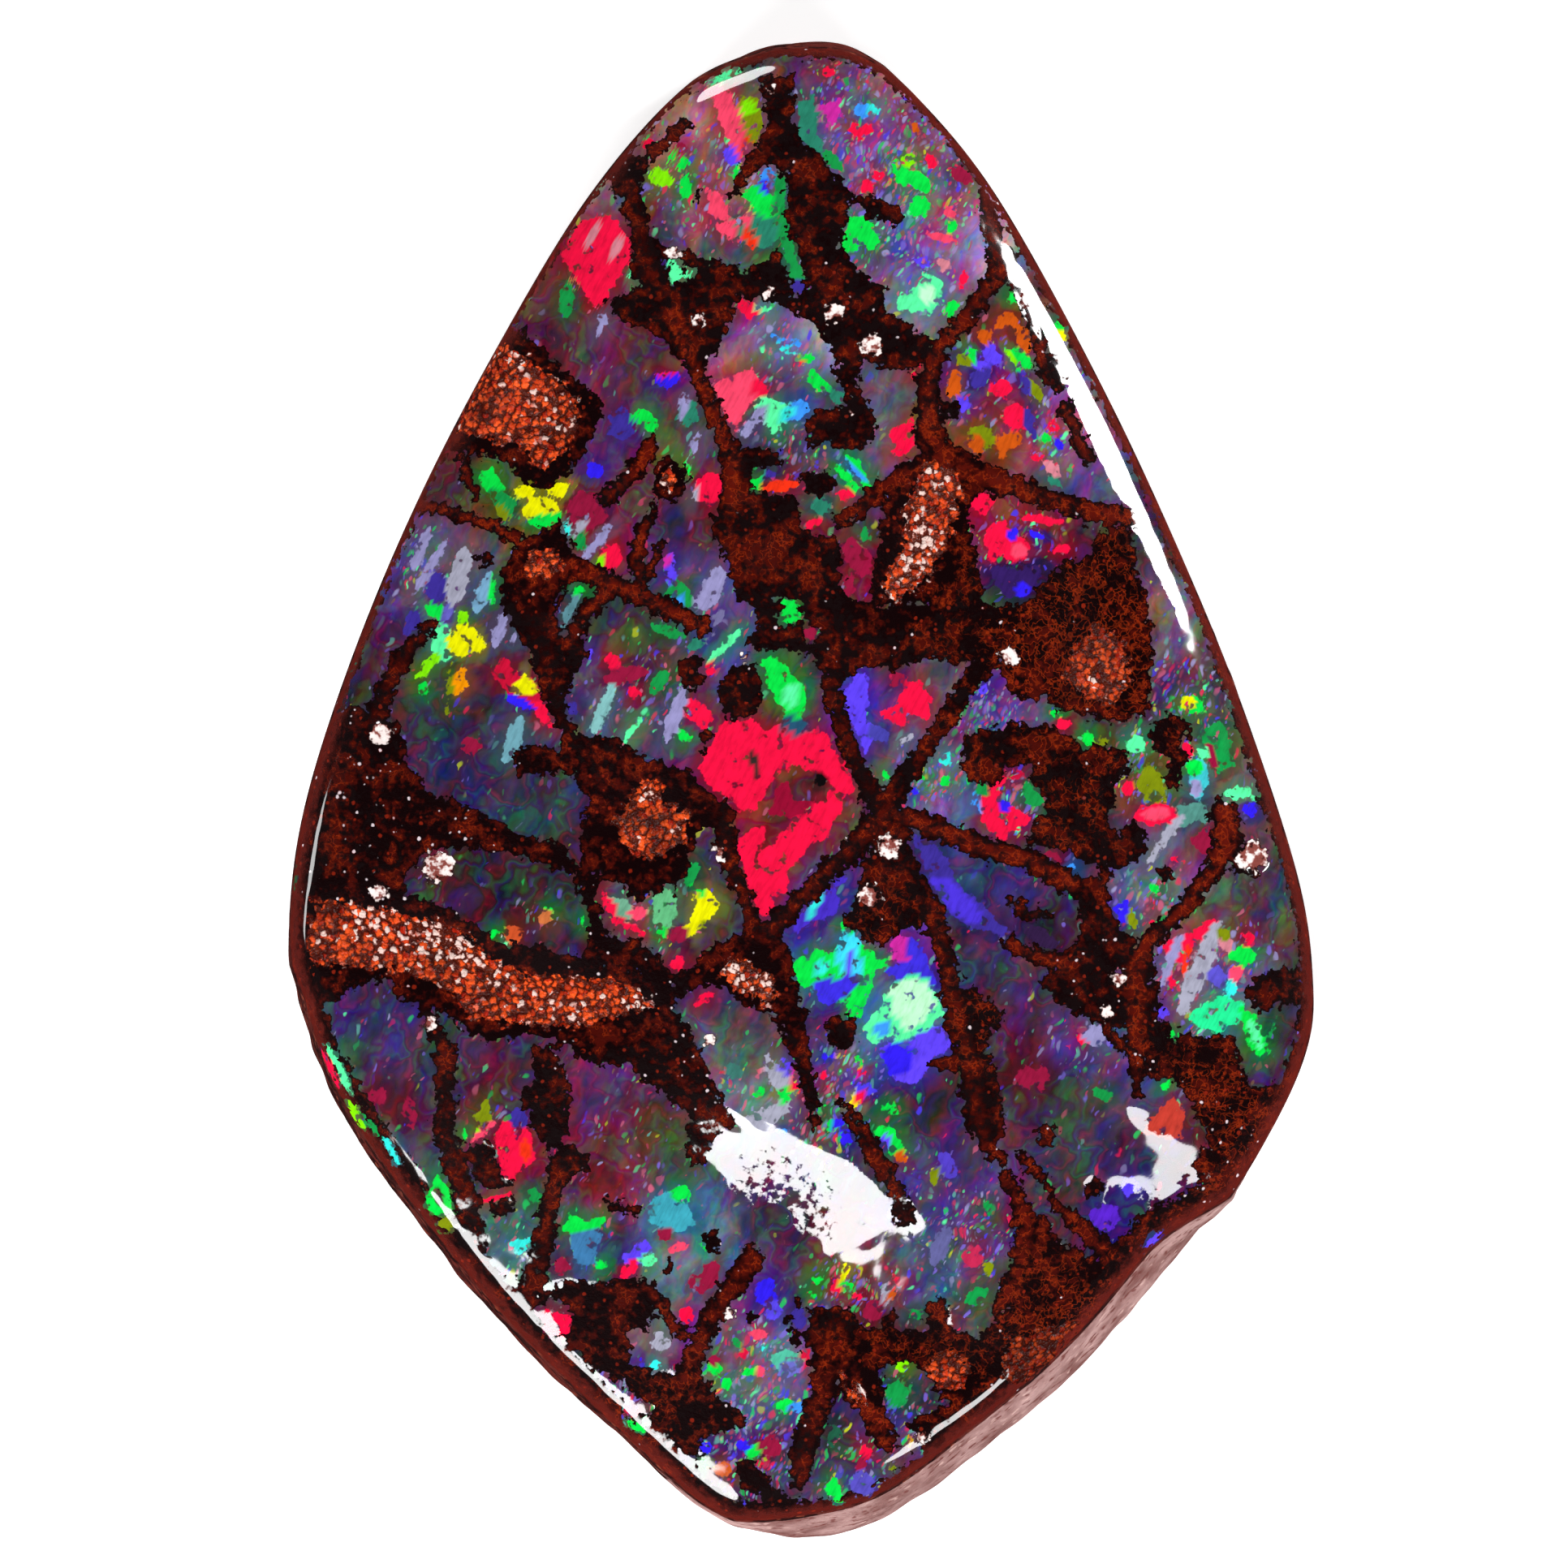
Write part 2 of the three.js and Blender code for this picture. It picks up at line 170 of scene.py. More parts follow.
# Flashes of colour with outlines of their own: colour, how much the outline is grown, and its points
FLASHES = {
    # narrow end, left
    "pink sweep": (ROSE, 2, [
        (868, 100), (898, 112), (914, 148), (922, 178), (912, 200), (898, 188), (893, 155)
    ]),
    "olive edge": (OLIVE, 2, [(912, 122), (930, 118), (940, 150), (930, 176), (920, 158)]),
    "violet wedge": (VIOLET, 1, [(889, 186), (903, 180), (909, 199), (898, 204)]),
    "lime splash": (LIME, 2, [(798, 213), (815, 205), (822, 214), (830, 222), (815, 228), (804, 224)]),
    "rose streak": (ROSE, 2, [
        (868, 230), (884, 236), (896, 258), (908, 280), (908, 294), (892, 292), (876, 262)
    ]),
    "teal ground": (TEAL, 2, [(905, 268), (950, 262), (960, 290), (945, 304), (918, 300)]),
    "green head": (GREEN, 2, [
        (915, 236), (930, 228), (945, 236), (955, 250), (960, 260), (945, 266), (930, 256)
    ]),
    "blue brow": (BLUE, 1, [(935, 226), (944, 222), (946, 236)]),
    "dark green tail": (LEAF, 0, [
        (952, 215), (968, 215), (970, 262), (976, 292), (992, 342), (974, 345), (961, 300)
    ]),
    # narrow end, right
    "green blade": (TEAL, 2, [
        (984, 125), (1000, 118), (1008, 140), (1005, 165), (1018, 188), (1000, 182), (985, 165)
    ]),
    "magenta field": (MAGENTA, 3, [(1013, 132), (1033, 124), (1036, 142), (1022, 154)]),
    "crimson field": (CRIMSON, 3, [(1048, 158), (1064, 150), (1075, 160), (1060, 172)]),
    "sky field": (SKY, 3, [(1055, 132), (1066, 126), (1068, 140), (1060, 146)]),
    "green comb": (GREEN, 3, [
        (1100, 198), (1118, 210), (1134, 212), (1146, 226), (1144, 238), (1128, 228), (1108, 222)
    ]),
    "green knee": (GREEN, 3, [(1121, 249), (1135, 240), (1146, 250), (1138, 262), (1124, 262)]),
    "green horn": (GREEN, 2, [
        (1048, 268), (1062, 266), (1076, 280), (1084, 298), (1072, 304), (1062, 298), (1048, 310),
        (1038, 306)
    ]),
    "mint map": (MINT, 2, [
        (1138, 336), (1150, 340), (1161, 350), (1155, 368), (1146, 384), (1128, 384), (1108, 378),
        (1104, 368), (1128, 352)
    ]),
    "green by the bar": (GREEN, 2, [(1163, 380), (1173, 368), (1184, 366), (1180, 378), (1172, 389)]),
    # upper left crimson
    "crimson sail": (CRIMSON, 1, [
        (690, 318), (702, 292), (716, 272), (745, 262), (760, 272), (768, 284), (779, 300), (775, 322),
        (760, 343), (750, 360), (741, 378), (727, 372), (714, 350), (702, 330)
    ]),
    "mint spur": (MINT, 1, [(773, 340), (780, 324), (788, 311), (795, 325), (802, 346), (794, 350)]),
    "mint star": (MINT, 1, [
        (817, 318), (832, 319), (838, 330), (855, 333), (855, 342), (838, 341), (827, 350), (824, 332)
    ]),
    # upper middle
    "blue crescent": (BLUE, 1, [(804, 463), (840, 460), (837, 470), (822, 477), (808, 473)]),
    "violet pebble": (INDIGO, 3, [(750, 530), (755, 508), (767, 502), (778, 515), (779, 532), (765, 541)]),
    "green pebble": (GREEN, 2, [(779, 509), (795, 504), (807, 515), (811, 531), (799, 529), (786, 520)]),
    "teal pebble": (TEAL, 3, [(834, 515), (845, 500), (856, 496), (861, 514), (849, 524)]),
    "crimson block": (CRIMSON, 2, [(859, 592), (875, 583), (890, 590), (888, 614), (874, 622), (862, 612)]),
    "pink wedge": (ROSE, 2, [
        (877, 470), (900, 463), (925, 455), (936, 468), (930, 486), (920, 502), (910, 520), (904, 536),
        (897, 520), (889, 500), (880, 486)
    ]),
    "wine top": (CRIMSON, 2, [(908, 366), (925, 372), (935, 384), (924, 390), (912, 385)]),
    "mint top": (MINT, 1, [(933, 373), (950, 378), (945, 386), (937, 383)]),
    "mint cloud": (MINT, 2, [
        (927, 510), (936, 496), (950, 490), (960, 498), (975, 500), (985, 514), (965, 518), (957, 535),
        (950, 528), (944, 514)
    ]),
    "sky cloud": (SKY, 2, [(972, 498), (990, 492), (996, 505), (986, 515), (974, 514)]),
    "green leaf": (GREEN, 2, [(995, 466), (1003, 456), (1012, 465), (1021, 475), (1010, 480), (1000, 475)]),
    "red tile": (CRIMSON, 1, [
        (1097, 530), (1130, 512), (1137, 525), (1135, 544), (1120, 552), (1110, 562), (1100, 560),
        (1103, 545)
    ]),
    "crimson under the ribs": (CRIMSON, 2, [(1030, 606), (1048, 602), (1056, 608), (1040, 620)]),
    "ember row": (SCARLET, 1, [(936, 599), (950, 593), (975, 590), (985, 598), (965, 606), (945, 605)]),
    "wine well": (WINE, 3, [
        (1039, 670), (1050, 663), (1065, 676), (1073, 695), (1070, 710), (1055, 705), (1045, 690)
    ]),
    # right of the top
    "orange shoe": (ORANGE, 3, [(1226, 402), (1232, 389), (1248, 386), (1254, 402), (1242, 396)]),
    "orange flank": (ORANGE, 3, [(1256, 406), (1268, 406), (1274, 426), (1264, 432), (1256, 418)]),
    "orange post": (ORANGE, 3, [(1167, 478), (1178, 456), (1185, 466), (1180, 486), (1170, 488)]),
    "green cap": (GREEN, 2, [(1192, 427), (1205, 434), (1201, 446), (1190, 440)]),
    "green vee": (GREEN, 1, [(1233, 427), (1255, 430), (1270, 442), (1272, 450), (1254, 455), (1244, 440)]),
    "violet crown": (VIOLET, 2, [(1204, 452), (1211, 432), (1224, 425), (1234, 440), (1224, 452)]),
    "indigo crown": (INDIGO, 3, [(1198, 462), (1222, 454), (1212, 474), (1200, 474)]),
    "crimson heart": (CRIMSON, 2, [(1221, 472), (1238, 468), (1249, 478), (1240, 487), (1224, 486)]),
    "crimson cushion": (CRIMSON, 3, [
        (1236, 506), (1250, 498), (1268, 507), (1264, 524), (1248, 528), (1240, 518)
    ]),
    "violet berry": (VIOLET, 2, [(1181, 489), (1194, 486), (1194, 500), (1186, 510)]),
    "olive field": (OLIVE, 3, [(1196, 530), (1214, 526), (1227, 535), (1221, 549), (1206, 550)]),
    "orange field": (ORANGE, 2, [
        (1231, 536), (1257, 535), (1259, 547), (1246, 550), (1233, 564), (1229, 550)
    ]),
    # below the right bar
    "crimson curl": (CRIMSON, 3, [(1198, 622), (1213, 606), (1223, 616), (1212, 632)]),
    "crimson wings": (CRIMSON, 2, [
        (1216, 652), (1236, 640), (1246, 656), (1266, 668), (1264, 686), (1246, 690), (1232, 680),
        (1222, 690), (1215, 674)
    ]),
    "indigo sea": ((50, 26, 96), 3, [
        (1222, 702), (1250, 696), (1284, 700), (1280, 720), (1264, 734), (1240, 734), (1228, 720)
    ]),
    # left
    "lime leaf": (GREEN, 3, [(589, 586), (604, 579), (614, 590), (619, 604), (610, 606), (597, 600)]),
    "green leaf low": (LEAF, 3, [(604, 606), (622, 608), (634, 616), (630, 634), (614, 624)]),
    "yellow lobes": (YELLOW, 2, [(633, 603), (650, 597), (662, 606), (652, 612), (640, 612)]),
    "yellow lobes right": (YELLOW, 2, [(674, 600), (692, 594), (702, 600), (694, 610), (680, 608)]),
    "yellow belly": (YELLOW, 2, [
        (645, 632), (655, 616), (672, 612), (684, 622), (690, 630), (672, 638), (652, 640)
    ]),
    "green belly": (GREEN, 2, [(652, 641), (672, 636), (690, 634), (682, 646), (662, 650)]),
    "wine cloud": (WINE, 4, [(700, 626), (718, 606), (738, 610), (744, 636), (722, 650), (706, 640)]),
    "green wedge": (LEAF, 3, [(706, 656), (716, 660), (724, 676), (716, 676)]),
    "crimson bud": (CRIMSON, 3, [(740, 676), (761, 672), (765, 688), (755, 704), (744, 698)]),
    "green step": (GREEN, 2, [(524, 746), (545, 738), (546, 762), (538, 774), (530, 770)]),
    "mint bowl": (MINT, 2, [(534, 776), (546, 768), (556, 790), (556, 812), (542, 812), (533, 800)]),
    "yellow cap": (LIME, 2, [(563, 752), (573, 756), (576, 770), (566, 766)]),
    "yellow star": (YELLOW, 2, [
        (562, 772), (576, 772), (588, 782), (598, 796), (586, 804), (570, 806), (556, 804), (552, 788)
    ]),
    "ember foot": ((245, 150, 0), 3, [(556, 832), (569, 826), (574, 844), (560, 854), (552, 850)]),
    "crimson ramp": ((205, 15, 55), 2, [
        (606, 828), (622, 812), (640, 836), (664, 838), (668, 866), (648, 866), (628, 856)
    ]),
    "crimson ramp foot": (CRIMSON, 2, [(656, 868), (676, 868), (686, 884), (684, 896), (668, 890)]),
    # left middle
    "green fir": (LEAF, 3, [(814, 744), (830, 714), (846, 722), (856, 748), (838, 742)]),
    "violet fir": (VIOLET, 3, [(818, 690), (828, 682), (832, 706), (824, 716)]),
    "lilac fir": (LILAC, 4, [(872, 716), (884, 702), (892, 708), (884, 736), (868, 750), (858, 744)]),
    "green squiggle": (GREEN, 3, [(834, 900), (842, 914), (850, 908)]),
    "red comb": (CRIMSON, 2, [(838, 868), (852, 862), (868, 872), (880, 886), (868, 897), (850, 886)]),
    # middle
    "green gem": (GREEN, 2, [(959, 738), (984, 742), (988, 760), (976, 768), (962, 764), (966, 750)]),
    "green shield": (GREEN, 2, [
        (937, 812), (950, 809), (963, 816), (975, 832), (989, 842), (990, 868), (980, 886), (963, 870),
        (949, 850), (944, 830)
    ]),
    "teal under the shield": ((35, 80, 110), 3, [(966, 884), (990, 892), (980, 905), (970, 902)]),
    "big fan, upper": (CRIMSON, 1, [
        (862, 948), (868, 926), (884, 905), (884, 893), (925, 885), (942, 900), (962, 896), (978, 910),
        (1000, 900), (1018, 903), (1026, 925), (1034, 938), (1045, 936), (1056, 970), (1052, 980),
        (1034, 978), (1018, 958), (1000, 948), (985, 944), (970, 938), (966, 952), (958, 950), (944, 972),
        (930, 998), (912, 1000), (904, 984), (880, 974)
    ]),
    "big fan, heart": ((150, 8, 48), 2, [
        (958, 976), (970, 964), (975, 986), (1000, 990), (990, 1006), (950, 1004)
    ]),
    "big fan, lower": (CRIMSON, 1, [
        (906, 1048), (912, 1034), (930, 1018), (944, 1020), (940, 1036), (934, 1050), (950, 1042),
        (965, 1025), (985, 1008), (1000, 1000), (1006, 988), (1018, 988), (1022, 974), (1036, 984),
        (1036, 1002), (1024, 1015), (1018, 1038), (1000, 1030), (995, 1050), (970, 1070), (968, 1098),
        (958, 1104), (946, 1092), (956, 1124), (940, 1132), (925, 1110), (918, 1080)
    ]),
    "violet strip": (VIOLET, 2, [
        (1040, 856), (1054, 832), (1067, 832), (1071, 860), (1066, 888), (1078, 906), (1066, 930),
        (1052, 906), (1041, 880)
    ]),
    "crimson comb": (CRIMSON, 2, [
        (1104, 868), (1116, 850), (1122, 838), (1133, 842), (1146, 862), (1141, 890), (1127, 876),
        (1114, 892), (1100, 888), (1086, 880)
    ]),
    "blue ribbon": ((70, 45, 195), 2, [
        (1050, 1056), (1034, 1070), (1040, 1084), (1028, 1100), (1036, 1112), (1026, 1128), (1006, 1134),
        (976, 1150), (986, 1128), (1006, 1106), (1020, 1086)
    ]),
    "green arch": (GREEN, 2, [
        (976, 1192), (990, 1178), (1005, 1170), (1012, 1178), (1026, 1174), (1038, 1184), (1034, 1206),
        (1016, 1214), (1000, 1218), (986, 1212), (981, 1200)
    ]),
    "cyan tower": ((60, 220, 250), 2, [
        (1034, 1156), (1050, 1148), (1060, 1162), (1066, 1186), (1060, 1200), (1044, 1204), (1034, 1186)
    ]),
    "green beak": (GREEN, 2, [(1062, 1166), (1078, 1180), (1095, 1184), (1084, 1192), (1068, 1198)]),
    "violet saddle": ((60, 45, 225), 2, [
        (1002, 1216), (1034, 1208), (1056, 1206), (1062, 1214), (1040, 1228), (1030, 1240), (1010, 1232)
    ]),
    "green feather": (GREEN, 1, [
        (1036, 1236), (1050, 1225), (1064, 1212), (1073, 1205), (1075, 1220), (1066, 1240), (1060, 1254),
        (1050, 1250), (1042, 1258), (1045, 1242)
    ]),
    "magenta cheek": (MAGENTA, 3, [(1098, 1168), (1110, 1156), (1122, 1160), (1122, 1184), (1108, 1190)]),
    "blue cheek": ((60, 45, 215), 3, [
        (1122, 1156), (1132, 1166), (1146, 1194), (1152, 1212), (1130, 1204), (1106, 1206), (1094, 1196),
        (1124, 1186)
    ]),
    "violet under the mint": (VIOLET, 2, [
        (1082, 1290), (1110, 1284), (1132, 1274), (1156, 1266), (1170, 1285), (1165, 1297), (1146, 1304),
        (1142, 1324), (1124, 1334), (1106, 1331), (1092, 1314)
    ]),
    "mint face": (MINT, 1, [
        (1063, 1266), (1070, 1257), (1086, 1244), (1092, 1224), (1106, 1210), (1126, 1203), (1141, 1208),
        (1152, 1226), (1160, 1240), (1164, 1250), (1150, 1262), (1134, 1270), (1124, 1278), (1110, 1286),
        (1096, 1276), (1080, 1287), (1070, 1280)
    ]),
    "pale face": (PALE_MINT, 6, [
        (1104, 1222), (1122, 1212), (1138, 1218), (1146, 1236), (1134, 1252), (1118, 1262), (1108, 1246)
    ]),
    # right middle
    "crimson flower": (CRIMSON, 2, [
        (1206, 990), (1212, 976), (1228, 974), (1236, 990), (1250, 1000), (1270, 1008), (1256, 1024),
        (1246, 1022), (1236, 1036), (1216, 1018), (1208, 1004)
    ]),
    "green by the flower": (LEAF, 3, [(1266, 966), (1284, 988), (1270, 994), (1262, 980)]),
    "indigo river": (INDIGO, 4, [
        (1124, 1014), (1140, 1034), (1160, 1052), (1176, 1092), (1208, 1118), (1240, 1150), (1200, 1142),
        (1168, 1118), (1146, 1080)
    ]),
    "cyan box": (SKY, 1, [(1310, 1070), (1322, 1064), (1328, 1076), (1318, 1080)]),
    "lime dust": (OLIVE, 4, [(1402, 962), (1416, 944), (1430, 962), (1436, 984), (1414, 984)]),
    "yellow corner": (GREEN, 1, [(1451, 870), (1462, 858), (1482, 860), (1485, 876), (1462, 880)]),
    "cyan block": ((60, 190, 200), 3, [(1466, 940), (1480, 936), (1488, 952), (1480, 984), (1470, 976)]),
    "teal curtain": (LEAF, 3, [
        (1482, 902), (1498, 892), (1512, 898), (1518, 944), (1504, 950), (1490, 930)
    ]),
    "mint mitten": (MINT, 1, [
        (1504, 990), (1512, 974), (1526, 968), (1540, 972), (1546, 984), (1530, 984), (1514, 988)
    ]),
    "teal veil": ((80, 140, 130), 4, [(1450, 996), (1490, 992), (1494, 1006), (1464, 1012), (1440, 1022)]),
    "wine veil": (WINE, 6, [(1474, 1036), (1500, 1020), (1498, 1044), (1484, 1048)]),
    "violet post": (BLUE, 2, [(1372, 1118), (1388, 1110), (1392, 1130), (1382, 1138)]),
    # lower right
    "crimson mantle": (CRIMSON, 2, [
        (1434, 1164), (1466, 1150), (1496, 1134), (1500, 1146), (1474, 1160), (1460, 1182), (1446, 1188)
    ]),
    "green muff": (GREEN, 4, [(1520, 1178), (1534, 1166), (1544, 1174), (1540, 1186), (1528, 1186)]),
    "green lawn": ((35, 235, 150), 3, [
        (1470, 1252), (1490, 1236), (1512, 1228), (1532, 1240), (1538, 1254), (1516, 1262), (1500, 1272),
        (1482, 1266)
    ]),
    "green bar": (GREEN, 2, [
        (1532, 1244), (1546, 1250), (1554, 1272), (1564, 1296), (1552, 1302), (1538, 1280)
    ]),
    "corner stone": ((186, 58, 46), 1, [
        (1408, 1396), (1412, 1382), (1426, 1376), (1434, 1362), (1446, 1353), (1456, 1362), (1460, 1380),
        (1456, 1404), (1430, 1402)
    ]),
    # lower left
    "mint in the arc": ((110, 170, 140), 3, [(752, 1110), (774, 1112), (778, 1130), (762, 1134)]),
    "pale green": ((100, 190, 130), 4, [(806, 1110), (824, 1094), (832, 1126), (824, 1138), (808, 1134)]),
    "yellow glove": (YELLOW, 3, [
        (858, 1104), (872, 1102), (884, 1116), (870, 1130), (852, 1150), (846, 1146), (860, 1124)
    ]),
    "green hoop": (GREEN, 1, [
        (524, 1474), (540, 1450), (552, 1464), (556, 1490), (540, 1500), (527, 1492)
    ]),
    "lime cone": (OLIVE, 3, [(586, 1376), (598, 1358), (602, 1376), (592, 1384)]),
    "crimson flag": (CRIMSON, 2, [
        (611, 1400), (618, 1386), (634, 1378), (648, 1394), (654, 1404), (656, 1430), (642, 1436),
        (632, 1454), (620, 1452), (614, 1426)
    ]),
    "cyan fish": (CYAN, 2, [(628, 1534), (640, 1528), (654, 1526), (646, 1540), (636, 1544)]),
    "green moth": (GREEN, 2, [
        (695, 1514), (705, 1497), (720, 1506), (742, 1500), (740, 1512), (722, 1524), (704, 1522)
    ]),
    "sky cell": ((60, 120, 170), 3, [(704, 1524), (736, 1518), (730, 1556), (712, 1560)]),
    "violet wing": (VIOLET, 3, [(782, 1560), (800, 1540), (794, 1528), (770, 1552)]),
    "teal coat": ((60, 165, 185), 4, [
        (802, 1484), (820, 1474), (846, 1492), (852, 1510), (826, 1516), (804, 1506)
    ]),
    "crimson boot": (CRIMSON, 2, [
        (668, 1636), (684, 1620), (702, 1624), (700, 1644), (690, 1651), (676, 1642)
    ]),
    # lower middle
    "red bead": (CRIMSON, 2, [
        (974, 1326), (983, 1320), (991, 1332), (992, 1344), (981, 1348), (976, 1340)
    ]),
    "pearl facet": (PEARL, 3, [(944, 1300), (970, 1330), (970, 1350), (950, 1330)]),
    "pearl facet low": (PEARL, 8, [(968, 1362), (934, 1396), (918, 1386), (950, 1372)]),
    "blue wave": ((75, 60, 235), 2, [(1052, 1335), (1066, 1338), (1086, 1334), (1076, 1345), (1060, 1350)]),
    "yellow fish": (YELLOW, 2, [(1046, 1360), (1052, 1353), (1062, 1354), (1060, 1362), (1050, 1365)]),
    "green cap low": (GREEN, 2, [(1086, 1369), (1096, 1359), (1103, 1363), (1105, 1372), (1094, 1369)]),
    "green bow": (GREEN, 2, [
        (1062, 1384), (1072, 1393), (1086, 1388), (1100, 1395), (1110, 1410), (1118, 1420), (1106, 1427),
        (1096, 1423), (1100, 1411), (1086, 1400), (1070, 1401)
    ]),
    # broad end
    "crimson tower": (CRIMSON, 4, [(1026, 1580), (1036, 1578), (1036, 1590), (1028, 1590)]),
    "blue king": (BLUE, 4, [(936, 1586), (950, 1578), (956, 1600), (944, 1612), (936, 1604)]),
    "rose fish": (ROSE, 2, [(924, 1646), (936, 1640), (944, 1644), (938, 1654), (928, 1654)]),
    "crimson kite": ((225, 20, 65), 3, [(909, 1668), (916, 1661), (922, 1668), (914, 1675)]),
    "crimson wing": ((210, 20, 60), 3, [(990, 1668), (996, 1664), (1010, 1684), (1006, 1696), (994, 1686)]),
    "teal cushion": ((80, 190, 160), 4, [(952, 1674), (966, 1668), (982, 1672), (976, 1686), (956, 1684)]),
    "green fan": (GREEN, 3, [(1018, 1834), (1026, 1824), (1034, 1836), (1038, 1852), (1030, 1850)]),
}

